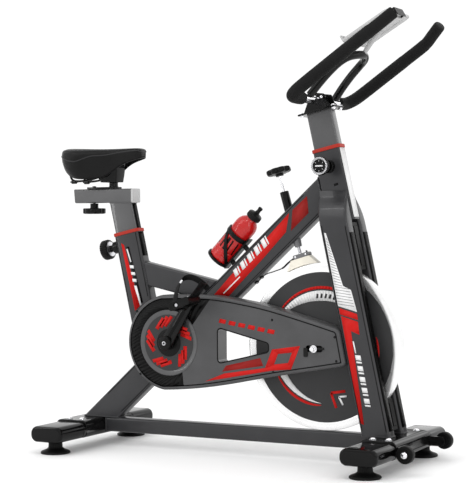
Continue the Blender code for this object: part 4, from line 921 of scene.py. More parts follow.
def build_pedal(side, end):
    body = ("right" if side < 0 else "left") + "_pedal"
    fore, up = sloped(PEDAL_TILT), leaned(PEDAL_TILT)
    middle = end + Y_AXIS * (side * 0.127)
    width = 0.066
    parts = []
    for s in (-1, 1):
        at = middle + fore * 0.0100 + Y_AXIS * s * (width / 2 - 0.0045)
        parts.append(block(at, fore, Y_AXIS, up, 0.068, 0.009, 0.022, 0.007))
    for forward in (-0.0205, 0.0400):
        parts.append(block(middle + fore * forward, fore, Y_AXIS, up, 0.007, width - 0.01, 0.020, 0.003))
    parts.append(block(middle + fore * 0.0008, fore, Y_AXIS, up, 0.0195, width - 0.01, 0.020, 0.007))
    for forward in (0.0175, 0.0290):
        parts.append(block(middle + fore * forward, fore, Y_AXIS, up, 0.0030, width - 0.01, 0.014, 0.001))
    pedal = piece(body, joined(*parts), "black_plastic", body, [body], bevel=0.0006)
    cut(pedal, turned([(0.0066, -width), (0.0066, width)], middle, Y_AXIS, 24))
    studs = []
    for forward in (-0.0205, 0.0400):
        for k in range(5):
            at = middle + fore * forward + Y_AXIS * (0.011 * (k - 2)) + up * 0.0098
            studs.append(turned([(0.0017, 0), (0.0014, 0.0018)], at, up, 10))
    piece(body + "_studs", joined(*studs), "brushed_steel", body)
    reflector = block(middle - fore * 0.0243, fore, Y_AXIS, up, 0.0012, 0.040, 0.008, 0.0004)
    piece(body + "_reflector", reflector, "black_plastic", body, bevel=0.0003)
    # Toe clip: a dished plate that rises in front of the pedal, with a rounded nose.
    rows = []
    for i in range(9):
        share = i / 8
        along = 0.0380 + 0.0540 * share
        rise = 0.0030 + 0.0120 * share + 0.010 * share * share
        half = 0.0260 - 0.006 * share * share
        row = []
        for k in range(13):
            u = k / 6 - 1
            row.append(middle + fore * along + Y_AXIS * (u * half) + up * (rise + 0.010 * share * u * u))
        rows.append(row)
    rings = []
    for row in rows:
        rings.append(row + [p + up * 0.0026 for p in reversed(row)])
    piece(body + "_toe_clip", loft(rings), "black_plastic", body, bevel=0.0005)
    start = end + Y_AXIS * (side * 0.1570) + fore * 0.002
    finish = end + Y_AXIS * (side * 0.1050) + fore * 0.0820
    across = (fore * 0.35 + up * 0.2).normalized()
    route = []
    for i in range(41):
        share = i / 40
        rise = up * (0.0090 + 0.0050 * share + 0.0520 * math.sin(math.pi * share) ** 0.75)
        route.append(start.lerp(finish, share) + rise)
    piece(body + "_strap", strap(route, across, 0.017, 0.0022), "black_rubber", body, sharp=50)
    at = route[13]
    ahead = (route[14] - route[12]).normalized()
    wide = (across - ahead * across.dot(ahead)).normalized()
    buckle = block(at, ahead, wide, ahead.cross(wide), 0.010, 0.020, 0.0050, 0.0015)
    piece(body + "_buckle", buckle, "chrome_plate", body, bevel=0.0005)


def build_flywheel():
    edge, face = WHEEL_RADIUS, FACE_RADIUS
    half_rim = [(face - 0.002, 0.0128), (face, WHEEL_HALF), (edge - 0.0025, WHEEL_HALF)]
    half_rim += [(edge - 0.0006, WHEEL_HALF - 0.0008), (edge, WHEEL_HALF - 0.003)]
    half_face = [(0.0064, 0.0172), (0.0230, 0.0172), (0.0245, 0.0165), (0.0300, WHEEL_FACE_Y)]
    half_face += [(face - 0.0010, WHEEL_FACE_Y), (face - 0.0002, 0.0128)]
    for name, half, finish, nodes in (
        ("flywheel_rim", half_rim, "rim_steel", ["flywheel_disc"]),
        ("flywheel_face", half_face, "wheel_paint", []),
    ):
        profile = [(r, -y) for r, y in half] + half[::-1]
        piece(name, turned_ring(profile, WHEEL_AXIS, Y_AXIS, 160), finish, "flywheel", nodes, sharp=35)
    shapes = flywheel_arcs() + flywheel_chevrons()
    dashes = []
    for k in range(5):
        a = math.radians(97 - 5.2 * k)
        dash = bar_quad(polar(0.1335, a), polar(0.1455, a - math.radians(1.0)), 0.0060)
        dashes.append(("wheel_paint", dash))
    for hand, side in HANDS:
        name = "flywheel_marks_" + hand
        origin = WHEEL_AXIS + Y_AXIS * (side * WHEEL_FACE_Y)
        marks(name, "flywheel", origin, X_AXIS * -side, Z_AXIS, shapes)
        marks(name + "_top", "flywheel", origin, X_AXIS * -side, Z_AXIS, dashes, lift=TOP_LIFT)


def flywheel_arcs():
    """Three white crescents, each with a thin red one outside it; a tapering one starts thick."""
    shapes = []
    count = 36
    for first, last, thick, outer, tapers in (
        (28, 150, 0.028, 0.1540, False),
        (208, 268, 0.022, 0.1530, True),
        (-40, 12, 0.024, 0.1540, False),
    ):
        stations = []
        for i in range(count + 1):
            t = i / count
            swell = math.sin(math.pi * t)
            white = thick * ((1 - t) ** 0.9 if tapers else swell**0.8)
            angle = math.radians(first + (last - first) * t)
            stations.append((angle, max(white, 0.0004), 0.0075 * swell**0.5))
        for (a0, w0, b0), (a1, w1, b1) in zip(stations, stations[1:]):
            quad = [polar(outer, a0), polar(outer, a1), polar(outer - w1, a1), polar(outer - w0, a0)]
            shapes.append(("mark_white_and_painted_highlight", quad))
            quad = [polar(outer + 0.0040, a0), polar(outer + 0.0040, a1)]
            quad += [polar(outer + 0.0045 + b1, a1), polar(outer + 0.0045 + b0, a0)]
            shapes.append(("mark_red", quad))
    return shapes


def flywheel_chevrons():
    corner, inner = (0.0234, -0.1229), (0.0462, -0.1325)
    shapes = [("mark_red", bar_quad(corner, tip, 0.0075)) for tip in ((0.0655, -0.1160), (0.0385, -0.1627))]
    shapes += [("mark_white_and_painted_highlight", bar_quad(inner, tip, 0.0052)) for tip in ((0.0690, -0.1295), (0.0587, -0.1535))]
    return shapes


def polar(radius, angle):
    return (radius * math.cos(angle), radius * math.sin(angle))


def bar_quad(start, end, width):
    a, b = Vector(start), Vector(end)
    along = (b - a).normalized()
    square = Vector((-along.y, along.x)) * (width / 2)
    return [tuple(a - square), tuple(b - square), tuple(b + square), tuple(a + square)]


def build_drive():
    build_cover()
    build_cover_marks()
    for hand, side in HANDS:
        build_crank(hand + "_crank", side)
    build_flywheel()
    keep_node("inner_chain_cover", "black_plastic")
    for node in ("bottom_bracket", "chainring_and_spindle", "freewheel_sprocket", "drive_chain"):
        keep_node(node, "brushed_steel")
    for node in ("right_dropout", "left_dropout"):
        keep_node(node, "charcoal_paint", 0.0006)
    rod = turned([(0.0060, -0.086), (0.0060, 0.0515), (0.0052, 0.0520)], WHEEL_AXIS, Y_AXIS, 24)
    parts = [rod, hex_nut(WHEEL_AXIS - Y_AXIS * 0.0745, -Y_AXIS, 0.0085, 0.0070)]
    parts.append(turned([(0.0100, 0.0733), (0.0100, 0.0745)], WHEEL_AXIS, -Y_AXIS, 32))
    parts.append(hex_nut(WHEEL_AXIS + Y_AXIS * 0.0420, Y_AXIS, 0.0115, 0.0090))
    piece("flywheel_axle", joined(*parts), "chrome_plate", "frame", ["flywheel_axle"], sharp=30)
    tab_at = WHEEL_AXIS + Vector((-0.0245, -0.0716, -0.010))
    tab = block(tab_at, X_AXIS, Y_AXIS, Z_AXIS, 0.012, 0.0020, 0.024, 0.002)
    hook_at = WHEEL_AXIS + Vector((0.020, -0.0716, 0.001))
    hook = block(hook_at, X_AXIS, Y_AXIS, Z_AXIS, 0.020, 0.0020, 0.006, 0.002)
    piece("axle_adjuster", joined(tab, hook), "gloss_black_paint", "frame", bevel=0.0004)


# ---------------------------------------------------------------- brake


def build_brake():
    upper = [(0.0053, 0.345), (0.0125, 0.345), (0.0125, 0.4375), (0.0118, 0.4395), (0.0053, 0.4400)]
    sleeve = turned_ring(upper, WHEEL_AXIS, BRAKE_UP, 40)
    piece("brake_sleeve", sleeve, "gloss_black_plastic", "frame", ["brake_sleeve"], sharp=30)
    lower = [(0.0053, 0.345), (0.0122, 0.345), (0.0122, 0.3100), (0.0110, 0.2950), (0.0095, 0.2830)]
    lower.append((0.0053, 0.2820))
    sleeve = turned_ring(lower, WHEEL_AXIS, BRAKE_UP, 40)
    piece("brake_lower_sleeve", sleeve, "grey_plastic", "frame", sharp=30)
    thread = [(0.0050, 0.2623)]
    for k in range(60):
        thread += [(0.0050, 0.2640 + k * 0.0012), (0.0045, 0.2646 + k * 0.0012)]
    thread += [(0.0046, 0.340), (0.0046, 0.4840)]
    piece("brake_rod", turned(thread, WHEEL_AXIS, BRAKE_UP, 20), "chrome_plate", "brake_rod", ["brake_rod"])
    profile = [(0.0108, 0.4846), (0.0115, 0.4900), (0.0280, 0.4912), (0.0318, 0.4935), (0.0325, 0.4960)]
    profile += [(0.0325, 0.5020), (0.0312, 0.5048), (0.0280, 0.5064), (0.0120, 0.5075)]
    wave = [0, 0, 0.004, 0.006, 0.006, 0.006, 0.006, 0.004, 0]
    knob = fluted(profile, WHEEL_AXIS, BRAKE_UP, 8, wave, 10)
    piece("brake_knob", knob, "black_plastic", "brake_knob", ["brake_knob"], sharp=60)
    top = [(0.0135, 0.5066), (0.0130, 0.5075)]
    piece("brake_knob_cap", turned(top, WHEEL_AXIS, BRAKE_UP, 40), "chrome_plate", "brake_knob")

    centre = brake_point(0.2565) + BRAKE_FORE * 0.004
    holder = block(centre, BRAKE_FORE, Y_AXIS, BRAKE_UP, 0.046, 0.026, 0.011, 0.003)
    piece("brake_pad_holder", holder, "grey_plastic", "brake_pad", ["brake_pad_holder"], bevel=0.0008)
    side = centre - Y_AXIS * 0.013
    screws = [bolt_head(side + BRAKE_FORE * f, -Y_AXIS, 0.0030, 0.0014) for f in (-0.016, 0.016)]
    screws.append(hex_nut(centre + BRAKE_FORE * 0.0145 + BRAKE_UP * 0.0055, BRAKE_UP, 0.0050, 0.0040))
    piece("brake_pad_screws", joined(*screws), "chrome_plate", "brake_pad")
    turns = [math.radians(12.0 * (1 - i / 12)) for i in range(25)]
    arc = [(BRAKE_UP * math.cos(t) + BRAKE_FORE * math.sin(t)) * 0.229 for t in turns]
    flat = [BRAKE_UP * 0.2507 + BRAKE_FORE * math.sin(t) * 0.229 * 0.60 for t in reversed(turns)]
    pad = loft([[WHEEL_AXIS + p + Y_AXIS * y for p in arc + flat] for y in (-0.0125, 0.0125)])
    piece("brake_pad", pad, "cream_felt", "brake_pad", ["brake_pad"], bevel=0.0008)

    start = brake_point(0.2550) - BRAKE_FORE * 0.0235
    under = BEAM_POINT - BEAM_OUT * (TUBE_DEPTH / 2 + 0.0035)
    route = [start, Vector((0.1470, 0, 0.5385)), Vector((0.1300, 0, 0.5245)), Vector((0.1040, 0, 0.5150))]
    route += [under - BEAM_UP * 0.088, under - BEAM_UP * 0.125]
    path = smooth_path(route, 8)
    radii = [0.0026 if i < 17 else 0.0015 for i in range(len(path))]
    wire = round_tube(path, radii, 12)
    piece("brake_return_wire", wire, "gloss_black_paint", "frame", ["brake_return_wire"])
    clips = []
    for along in (0.100, 0.121):
        at = under - BEAM_UP * along + BEAM_OUT * 0.0010
        clips.append(block(at, BEAM_UP, Y_AXIS, BEAM_OUT, 0.008, 0.014, 0.0045, 0.001))
    piece("brake_wire_clips", joined(*clips), "gloss_black_plastic", "frame", bevel=0.0004)


# ---------------------------------------------------------------- saddle side


def collar(name, top):
    profile = [(0.0014, GAP), (0.0022, 0.0010), (0.0022, 0.0088), (0.0016, 0.0097), (0.0006, 0.0100)]
    profile += [(-0.0026, 0.0100), (-0.0026, GAP)]
    rings = []
    for out, height in profile:
        outline = rounded_rectangle(TUBE_WIDTH + 2 * out, TUBE_DEPTH + 2 * out, TUBE_CORNER + out * 0.6, 8)
        rings.append(ring(top + POST_UP * height, Y_AXIS, POST_FORE, outline))
    piece(name, loft(rings, closed=True), "collar_plastic", "frame", [name], sharp=35)


def post(name, low, high, top_cut=None):
    rings = tube_rings(low, high, POST_WIDTH, POST_DEPTH, TUBE_CORNER - 0.001, TUBE_WALL, None, top_cut)
    piece(name, loft(rings, closed=True), "grey_paint", name, [name])


def slide_section(inset, corner=0.005):
    """The slide tube's section, as (y, z from its middle)."""
    height = SLIDE_TUBE[3] - SLIDE_TUBE[2]
    return rounded_rectangle(SLIDE_WIDTH - 2 * inset, height - 2 * inset, corner, 6)


def build_seat_post():
    rear, front, bottom, top = SLIDE_TUBE
    low, high = SEAT_TUBE_TOP - POST_UP * 0.120, SEAT_TUBE_TOP + POST_UP * 0.08
    post("seat_post", low, high, (Vector((0, 0, bottom - GAP)), Z_AXIS))
    collar("seat_collar", SEAT_TUBE_TOP)
    centre_z = (top + bottom) / 2
    slant = 0.09

    def slanted(x, b):
        return x + (top - centre_z - b) * slant

    # The tube is open at both ends, and its rear end is cut on a slant.
    tube_front = front - 0.0085
    rings = []
    for inset, ends in ((0.0, (rear, tube_front)), (0.0022, (tube_front, rear))):
        for x in ends:
            section = slide_section(inset)
            rings.append([Vector((slanted(x, b) if x == rear else x, a, centre_z + b)) for a, b in section])
    walls = loft(rings, closed=True)
    tube = piece("saddle_slide_tube", walls, "grey_paint", "seat_post", ["saddle_slide_tube"], bevel=0.0004)
    cut(tube, block((-0.4875, 0, centre_z), X_AXIS, Z_AXIS, Y_AXIS, 0.087, 0.10, 0.0096, 0.0045, 6))
    rings = []
    for x, inset in ((front - 0.0100, 0.0010), (front - 0.0080, 0.0), (front - 0.0015, 0.0), (front, 0.0030)):
        rings.append([Vector((x, a, centre_z + b)) for a, b in slide_section(inset)])
    piece("slide_tube_front_cap", loft(rings), "pale_plastic", "seat_post", sharp=30)
    rings = []
    for x in (rear + 0.0008, rear + 0.0068):
        rings.append([Vector((slanted(x, b), a, centre_z + b)) for a, b in slide_section(0.0023, 0.004)])
    piece("slide_tube_rear_cap", loft(rings), "black_plastic", "seat_post", bevel=0.0006)
    corners = [(-0.4235, -0.0167), (-0.3505, -0.0167), (-0.3505, 0.0167), (-0.4235, 0.0167)]
    bead = [Vector((x, y, bottom - 0.0002)) for x, y in corners]
    path = []
    for a, b in zip(bead, bead[1:] + bead[:1]):
        path += [a.lerp(b, i / 24) for i in range(24)]
    radii = [0.0016 * (1 + 0.15 * math.sin(2.2 * i)) for i in range(len(path))]
    piece("slide_tube_weld", round_tube(path, radii, 8, closed=True), "grey_paint", "seat_post")


def build_pull_pin(name, face_point, out, boss, knob_from, knob_to, radius, dial=False):
    """A boss on the frame, and a shank and a scalloped knob that pull out of it together."""
    shell = [(0.0105, GAP), (0.0175, GAP), (0.0180, 0.001), (0.0180, boss - 0.001)]
    shell += [(0.0170, boss), (0.0105, boss)]
    ring_shape = turned_ring(shell, face_point, out, 40)
    piece(name + "_boss", ring_shape, "gloss_black_plastic", "frame", sharp=30)
    shank = turned([(0.0100, 0.0008), (0.0100, knob_from + 0.002)], face_point, out, 40)
    piece(name + "_shank", shank, "gloss_black_plastic", name, [name], sharp=30)
    profile = [(radius * 0.80, knob_from), (radius * 0.95, knob_from + 0.0010), (radius, knob_from + 0.004)]
    profile += [(radius, knob_to - 0.0022), (radius * 0.95, knob_to - 0.0006), (radius * 0.84, knob_to)]
    profile += [(radius * 0.80, knob_to - 0.0022)]
    wave = [0, 0.0010, 0.0022, 0.0022, 0.0010, 0, 0]
    piece(name + "_knob", fluted(profile, face_point, out, 30, wave, 6), "black_plastic", name, sharp=60)
    if dial:
        build_dial(name, face_point, out, knob_to, radius)
        return
    inner = [(radius * 0.78, knob_from - 0.0012), (radius * 0.78, knob_from + 0.0030)]
    cap = [(radius * 0.79, knob_to - 0.0024), (radius * 0.77, knob_to - 0.0006)]
    piece(name + "_bright_face", turned(inner, face_point, out, 48), "brushed_steel", name)
    piece(name + "_cap", turned(cap, face_point, out, 48), "gloss_black_plastic", name)


def build_dial(name, face_point, out, top, radius):
    """The knob's bright toothed edge and dark face, with a plain bar and ticks."""
    edge = [(radius * 0.995, top - 0.0030), (radius * 0.96, top - 0.0004), (radius * 0.84, top - 0.0002)]
    edge += [(radius * 0.80, top - 0.0012)]
    teeth = fluted(edge, face_point, out, 36, [0.0016, 0.0014, 0.0, 0.0], 6)
    piece(name + "_bright_edge", teeth, "chrome_plate", name, sharp=60)
    disc = [(radius * 0.80, top - 0.0020), (radius * 0.79, top - 0.0008)]
    piece(name + "_dial", turned(disc, face_point, out, 48), "gloss_black_plastic", name)
    shapes = [("mark_white_and_painted_highlight", bar_quad((-0.0110, 0.0), (0.0110, 0.0), 0.0034))]
    for turn in (40, 90, 140, 220, 270, 320):
        a = math.radians(turn)
        shapes.append(("mark_white_and_painted_highlight", bar_quad(polar(0.0120, a), polar(0.0150, a), 0.0010)))
    marks(name + "_dial_marks", name, face_point + out * (top - 0.0008), X_AXIS, Z_AXIS, shapes)


def build_carriage():
    bottom, top = SLIDE_TUBE[2:]
    plate = block((-0.4525, 0, top + 0.0029), X_AXIS, Z_AXIS, Y_AXIS, 0.103, 0.0052, 0.036, 0.006, 6)
    profile = [(0.0150, 0.0038), (0.0140, 0.0060), (0.0130, 0.0090), (0.0128, 0.0225)]
    stem = turned(profile, (STEM_X, 0, top), Z_AXIS, 40)
    tongue = block((STEM_X, 0, 0.7800), X_AXIS, Y_AXIS, Z_AXIS, 0.018, 0.010, 0.026, 0.007, 6)
    body = "saddle_carriage"
    piece(body, joined(plate, stem, tongue), "gloss_black_paint", body, [body], bevel=0.0005)
    bolt = bolt_head(Vector((CARRIAGE_KNOB_X, 0, top + 0.0055)), Z_AXIS, 0.0075, 0.0038)
    pin = turned([(0.0040, -0.0205), (0.0040, 0.0205)], (STEM_X, 0, 0.786), Y_AXIS, 20)
    piece("saddle_carriage_bolts", joined(bolt, pin), "chrome_plate", body)
    profile = [(0.0250, -0.0320), (0.0300, -0.0312), (0.0322, -0.0295), (0.0322, -0.0165), (0.0305, -0.0152)]
    profile += [(0.0130, -0.0148), (0.0120, -0.0130), (0.0120, -0.0012), (0.0040, -0.0009)]
    profile += [(0.0040, top - bottom)]
    wave = [0, 0.0015, 0.0030, 0.0030, 0.0015, 0, 0, 0, 0, 0]
    knob = fluted(profile, (CARRIAGE_KNOB_X, 0, bottom), Z_AXIS, 10, wave, 8)
    piece("carriage_knob", knob, "black_plastic", "carriage_knob", ["carriage_knob"], sharp=55)


SADDLE_STATIONS = [  # x, half width, top, lower edge of the skirt
    (-0.5690, 0.030, 0.8550, 0.8440),
    (-0.5640, 0.052, 0.8630, 0.8330),
    (-0.5540, 0.071, 0.8682, 0.8190),
    (-0.5400, 0.083, 0.8700, 0.8040),
    (-0.5250, 0.089, 0.8702, 0.7920),
    (-0.5100, 0.0915, 0.8700, 0.7850),
    (-0.4950, 0.0895, 0.8695, 0.7818),
    (-0.4800, 0.083, 0.8690, 0.7812),
    (-0.4650, 0.073, 0.8684, 0.7812),
    (-0.4500, 0.0615, 0.8680, 0.7820),
    (-0.4350, 0.0505, 0.8676, 0.7850),
    (-0.4200, 0.0425, 0.8674, 0.7920),
    (-0.4050, 0.0365, 0.8672, 0.8030),
    (-0.3850, 0.0315, 0.8672, 0.8165),
    (-0.3650, 0.0285, 0.8674, 0.8265),
    (-0.3450, 0.0262, 0.8675, 0.8330),
    (-0.3300, 0.0238, 0.8672, 0.8370),
    (-0.3220, 0.0205, 0.8655, 0.8390),
    (-0.3175, 0.0150, 0.8620, 0.8410),
    (-0.3162, 0.0090, 0.8580, 0.8440),
]


def saddle_point(x, half, top, low, turn):
    """A point on the saddle's outside: turn 0 is the middle of the top, 1 the lower edge of the skirt."""
    depth = top - low
    wide = min(1.0, max(0.0, (half - 0.030) / 0.06))
    crown = [(0.0, 0.0), (0.36, 0.004), (0.66, 0.022), (0.86, 0.085), (0.955, 0.20), (0.985, 0.335)]
    flank = [(0.985, 0.46), (0.975, 0.62), (0.945, 0.80), (0.895, 0.93), (0.845, 1.0)]
    route = crown + flank
    at = turn * (len(route) - 1)
    i = min(int(at), len(route) - 2)
    t = at - i
    share = route[i][0] * (1 - t) + route[i + 1][0] * t
    drop = route[i][1] * (1 - t) + route[i + 1][1] * t
    dish = 0.0030 * wide * math.cos(min(1.0, share * 1.6) * math.pi / 2)
    return Vector((x, share * half, top - drop * depth - dish))


def saddle_sections():
    """Evenly smoothed (x, half, top, low) sections along the saddle."""
    tops = smooth_path([Vector((x, half, top)) for x, half, top, low in SADDLE_STATIONS], 3)
    lows = smooth_path([Vector((x, low, 0)) for x, half, top, low in SADDLE_STATIONS], 3)
    return [(*upper, lower.y) for upper, lower in zip(tops, lows)]


def saddle_ring(section, steps=30):
    """A section's closed outline: the outside down to the skirt, and the hollow under it."""
    x, half, top, low = section
    outer = [saddle_point(*section, i / steps) for i in range(steps + 1)]
    hollow = max(low + 0.0015, top - 0.030)
    edge = outer[-1].y - min(0.006, 0.3 * half)
    inside = [(edge, low + 0.0008), (edge, 0.5 * (low + hollow)), (0.85 * edge, hollow), (0.4 * edge, hollow)]
    right = outer + [Vector((x, y, z)) for y, z in inside]
    return right + [Vector((x, 0, hollow))] + mirrored(right[1:])


def build_saddle_cushion():
    sections = saddle_sections()
    skin = loft([saddle_ring(section) for section in sections])
    saddle = piece("saddle_cushion", skin, "leatherette", "saddle", ["saddle_cushion"], sharp=80)
    # Piping along the seam between the top panel and the flank, and a stitched line inside it; both are drawn
    # lighter than the cushion as a painted highlight along the seam ridge.
    beads = (("saddle_piping", 0.440, 0.16, 0.0017), ("saddle_seam", 0.30, 0.04, 0.0006))
    for name, turn, drop, radius in beads:
        side = []
        for section in sections[3:-2]:
            share = min(1.0, max(0.0, (-0.448 - section[0]) / 0.055))
            at = turn + drop * share * share * (3 - 2 * share)
            side.append(saddle_point(*section, at) + Vector((0, 0.0001, 0.0001)))
        loop = side + mirrored(side)
        piece(name, round_tube(loop, radius, 8, closed=True), "seam_leather_painted_highlight", "saddle")
    shell = [saddle_point(*section, 1.0) - Vector((0, 0.0028, 0.0004)) for section in sections[2:-3]]
    edge = round_tube(shell + mirrored(shell), 0.0022, 8, closed=True)
    piece("saddle_shell_edge", edge, "black_plastic", "saddle")


def build_saddle_fittings():
    cheeks = []
    for s in (-1, 1):
        at = (SADDLE_CLAMP_X, s * 0.0160, SADDLE_CLAMP_Z)
        cheeks.append(block(at, X_AXIS, Y_AXIS, Z_AXIS, 0.046, 0.0200, 0.029, 0.006))
    bridge = block((SADDLE_CLAMP_X, 0, 0.8036), X_AXIS, Y_AXIS, Z_AXIS, 0.046, 0.05, 0.0048, 0.002)
    clamp = joined(bridge, *cheeks)
    piece("saddle_clamp", clamp, "gloss_black_paint", "saddle", ["saddle_clamp"], bevel=0.0008)
    # A boot round the clamp: half length, half width and height, down its outside and up its inside.
    boot = [(0.032, 0.030, 0.812), (0.030, 0.028, 0.790), (0.0275, 0.0255, 0.7700)]
    boot += [(0.0255, 0.0235, 0.7700), (0.029, 0.0265, 0.812)]
    rings = []
    for half_x, half_y, z in boot:
        outline = rounded_rectangle(2 * half_x, 2 * half_y, 0.010)
        rings.append([Vector((-0.4260 + a, b, z)) for a, b in outline])
    piece("saddle_clamp_boot", loft(rings, closed=True), "gloss_black_plastic", "saddle", sharp=50)
    half = [(-0.5480, 0.0340, 0.8200), (-0.5490, 0.0340, 0.7960), (-0.5430, 0.0335, 0.7800)]
    half += [(-0.5250, 0.0325, 0.7745), (-0.4900, 0.0290, 0.7770), (-0.4550, 0.0265, 0.7850)]
    half += [(-0.4250, 0.0235, 0.7985), (-0.4020, 0.0190, 0.8125), (-0.3900, 0.0120, 0.8220)]
    half = [Vector(p) for p in half]
    route = half + [Vector((-0.3860, 0, 0.8245))] + mirrored(half)
    piece("saddle_rails", round_tube(smooth_path(route, 6), 0.0032, 16), "gloss_black_paint", "saddle")
    parts = []
    for side in (-1, 1):
        at = Vector((-0.536, side * 0.0330, 0.7725))
        parts.append(turned([(0.0058, -0.007), (0.0058, 0.007)], at, X_AXIS, 20))
        parts.append(turned([(0.0022, -0.013), (0.0022, 0.013)], at, X_AXIS, 14))
        parts.append(hex_nut(Vector((-0.4440, side * 0.0262, 0.786)), Y_AXIS * side, 0.0058, 0.0040))
    piece("saddle_fasteners", joined(*parts), "gloss_black_paint", "saddle", sharp=30)


# ---------------------------------------------------------------- handlebar side


def build_handlebar_post():
    low, high = HEAD_TUBE_TOP - POST_UP * 0.150, HEAD_TUBE_TOP + POST_UP * 0.1075
    post("handlebar_post", low, high)
    collar("head_collar", HEAD_TUBE_TOP)
    base = high + POST_UP * 0.0028
    parts = [block(base, POST_FORE, Y_AXIS, POST_UP, 0.112, 0.062, 0.005, 0.0024)]
    bar = BAR_CENTRE
    for side in (-1, 1):
        cheek = Y_AXIS * (side * 0.0245)
        outline = [base + cheek - POST_FORE * 0.040, base + cheek + POST_FORE * 0.046]
        round_bar = ((0.030, -0.002), (0.022, 0.017), (-0.008, 0.0205), (-0.0215, 0.006))
        outline += [bar + cheek + Vector((x, 0, z)) for x, z in round_bar]
        parts.append(loft([[p + Y_AXIS * y for p in outline] for y in (-0.002, 0.002)]))
    plates = joined(*parts)
    nodes = ["handlebar_clamp"]
    clamp = piece("handlebar_clamp", plates, "gloss_black_paint", "handlebar_post", nodes, bevel=0.0008)
    cut(clamp, turned([(0.0128, -0.05), (0.0128, 0.05)], bar, Y_AXIS, 32))
    sleeve = [(0.0130, -0.0215), (0.0165, -0.0205), (0.0165, 0.0205), (0.0130, 0.0215)]
    sleeve = turned_ring(sleeve, bar, Y_AXIS, 40)
    piece("handlebar_saddle", sleeve, "gloss_black_paint", "handlebar_post", sharp=30)
    bolts = []
    for fore, side in ((-0.048, -0.022), (-0.048, 0.022), (0.049, -0.022), (0.049, 0.022)):
        at = base + POST_FORE * fore + Y_AXIS * side + POST_UP * 0.0025
        bolts.append(turned([(0.0075, 0), (0.0075, 0.001)], at, POST_UP, 24))
        bolts.append(bolt_head(at + POST_UP * 0.001, POST_UP, 0.0060, 0.0040))
        bolts.append(hex_nut(at - POST_UP * 0.0050, -POST_UP, 0.0058, 0.0040))
    for side in (-1, 1):
        for offset in (Vector((0.0155, 0, 0.0080)), Vector((-0.0110, 0, 0.0100))):
            at = bar + offset + Y_AXIS * (side * 0.0265)
            bolts.append(bolt_head(at, Y_AXIS * side, 0.0042, 0.0028))
    piece("handlebar_bolts", joined(*bolts), "chrome_plate", "handlebar_post")


def bar_half():
    """The bar's route on the left, from the middle out and up the horn."""
    half = [(0, 0, 0), (0, 0.0600, 0), (0, 0.1110, 0), (0, 0.1130, 0)]
    half += [(-0.002, 0.1400, 0.0000), (0.001, 0.1700, 0.0025), (0.020, 0.1865, 0.0140)]
    half += [(0.050, 0.1905, 0.0340), (0.110, 0.1905, 0.0745), (0.170, 0.1905, 0.1150)]
    half += [(0.220, 0.1905, 0.1487), (0.238, 0.1865, 0.1615)]
    half += [(0.256, 0.1770, 0.1775), (0.283, 0.1634, 0.2018)]
    return [BAR_CENTRE + Vector(p) for p in half]


def grip_radius(run, total):
    """The grip's radius at a distance along it: two steps down towards the end, and rounded ends."""
    radius = 0.0175
    for from_end, step in ((0.075, 0.0007), (0.150, 0.0005)):
        if run > total - from_end:
            radius -= step
    rounding = 0.004
    if run < rounding:
        radius = 0.0162 + 0.0013 * run / rounding
    if run > total - rounding:
        radius -= 0.0012 * (1 - (total - run) / rounding)
    return radius


def build_handlebar():
    half = bar_half()
    curve = smooth_path(half[3:], 12)
    steel = mirrored(half[1:4]) + half[:4]
    piece("bare_bar", round_tube(steel, 0.0125, 32), "chrome_plate", "handlebar_post")
    runs = [0.0]
    for a, b in zip(curve, curve[1:]):
        runs.append(runs[-1] + (b - a).length)
    radii = [grip_radius(run, runs[-1]) for run in runs]
    plug = [(0.0135, -0.001), (0.0145, 0.0), (0.0130, 0.0012), (0.0060, 0.0016)]
    for name, side, nodes in (("handlebar", -1, ["handlebar"]), ("left_grip", 1, [])):
        path = [Vector((p.x, side * p.y, p.z)) for p in curve]
        grip = piece(name, round_tube(path, radii, 40), "grip_foam", "handlebar_post", nodes, sharp=40)
        ahead = (path[-1] - path[-2]).normalized()
        end = turned(plug, path[-1] - ahead * 0.0012, ahead, 32)
        piece(name + "_end_plug", end, "black_plastic", "handlebar_post")
    hoop = [(0.3725, 0.0000, 1.0965), (0.3665, 0.0300, 1.0940), (0.3530, 0.0540, 1.0870)]
    hoop += [(0.3330, 0.0660, 1.0727), (0.3070, 0.0715, 1.0490), (0.2800, 0.0760, 1.0200)]
    hoop.append((0.2558, 0.0810, 0.9908))
    hoop = [Vector(p) for p in hoop]
    tube = round_tube(smooth_path(mirrored(hoop[1:]) + hoop, 10), 0.0110, 32)
    piece("handlebar_hoop", tube, "gloss_black_paint", "handlebar_post", ["handlebar_hoop"])
    for name, side in HANDS:
        foot = Vector((hoop[-1].x, side * hoop[-1].y, hoop[-1].z))
        path = []
        for i in range(40):
            t = 2 * math.pi * i / 40
            c, n = math.cos(t), math.sin(t)
            path.append(foot + Vector((0.0085 * c * 0.77, 0.0108 * n, -0.0068 * c)))
        weld = round_tube(path, 0.0016, 8, closed=True)
        piece(f"hoop_weld_{name}", weld, "gloss_black_paint", "handlebar_post")


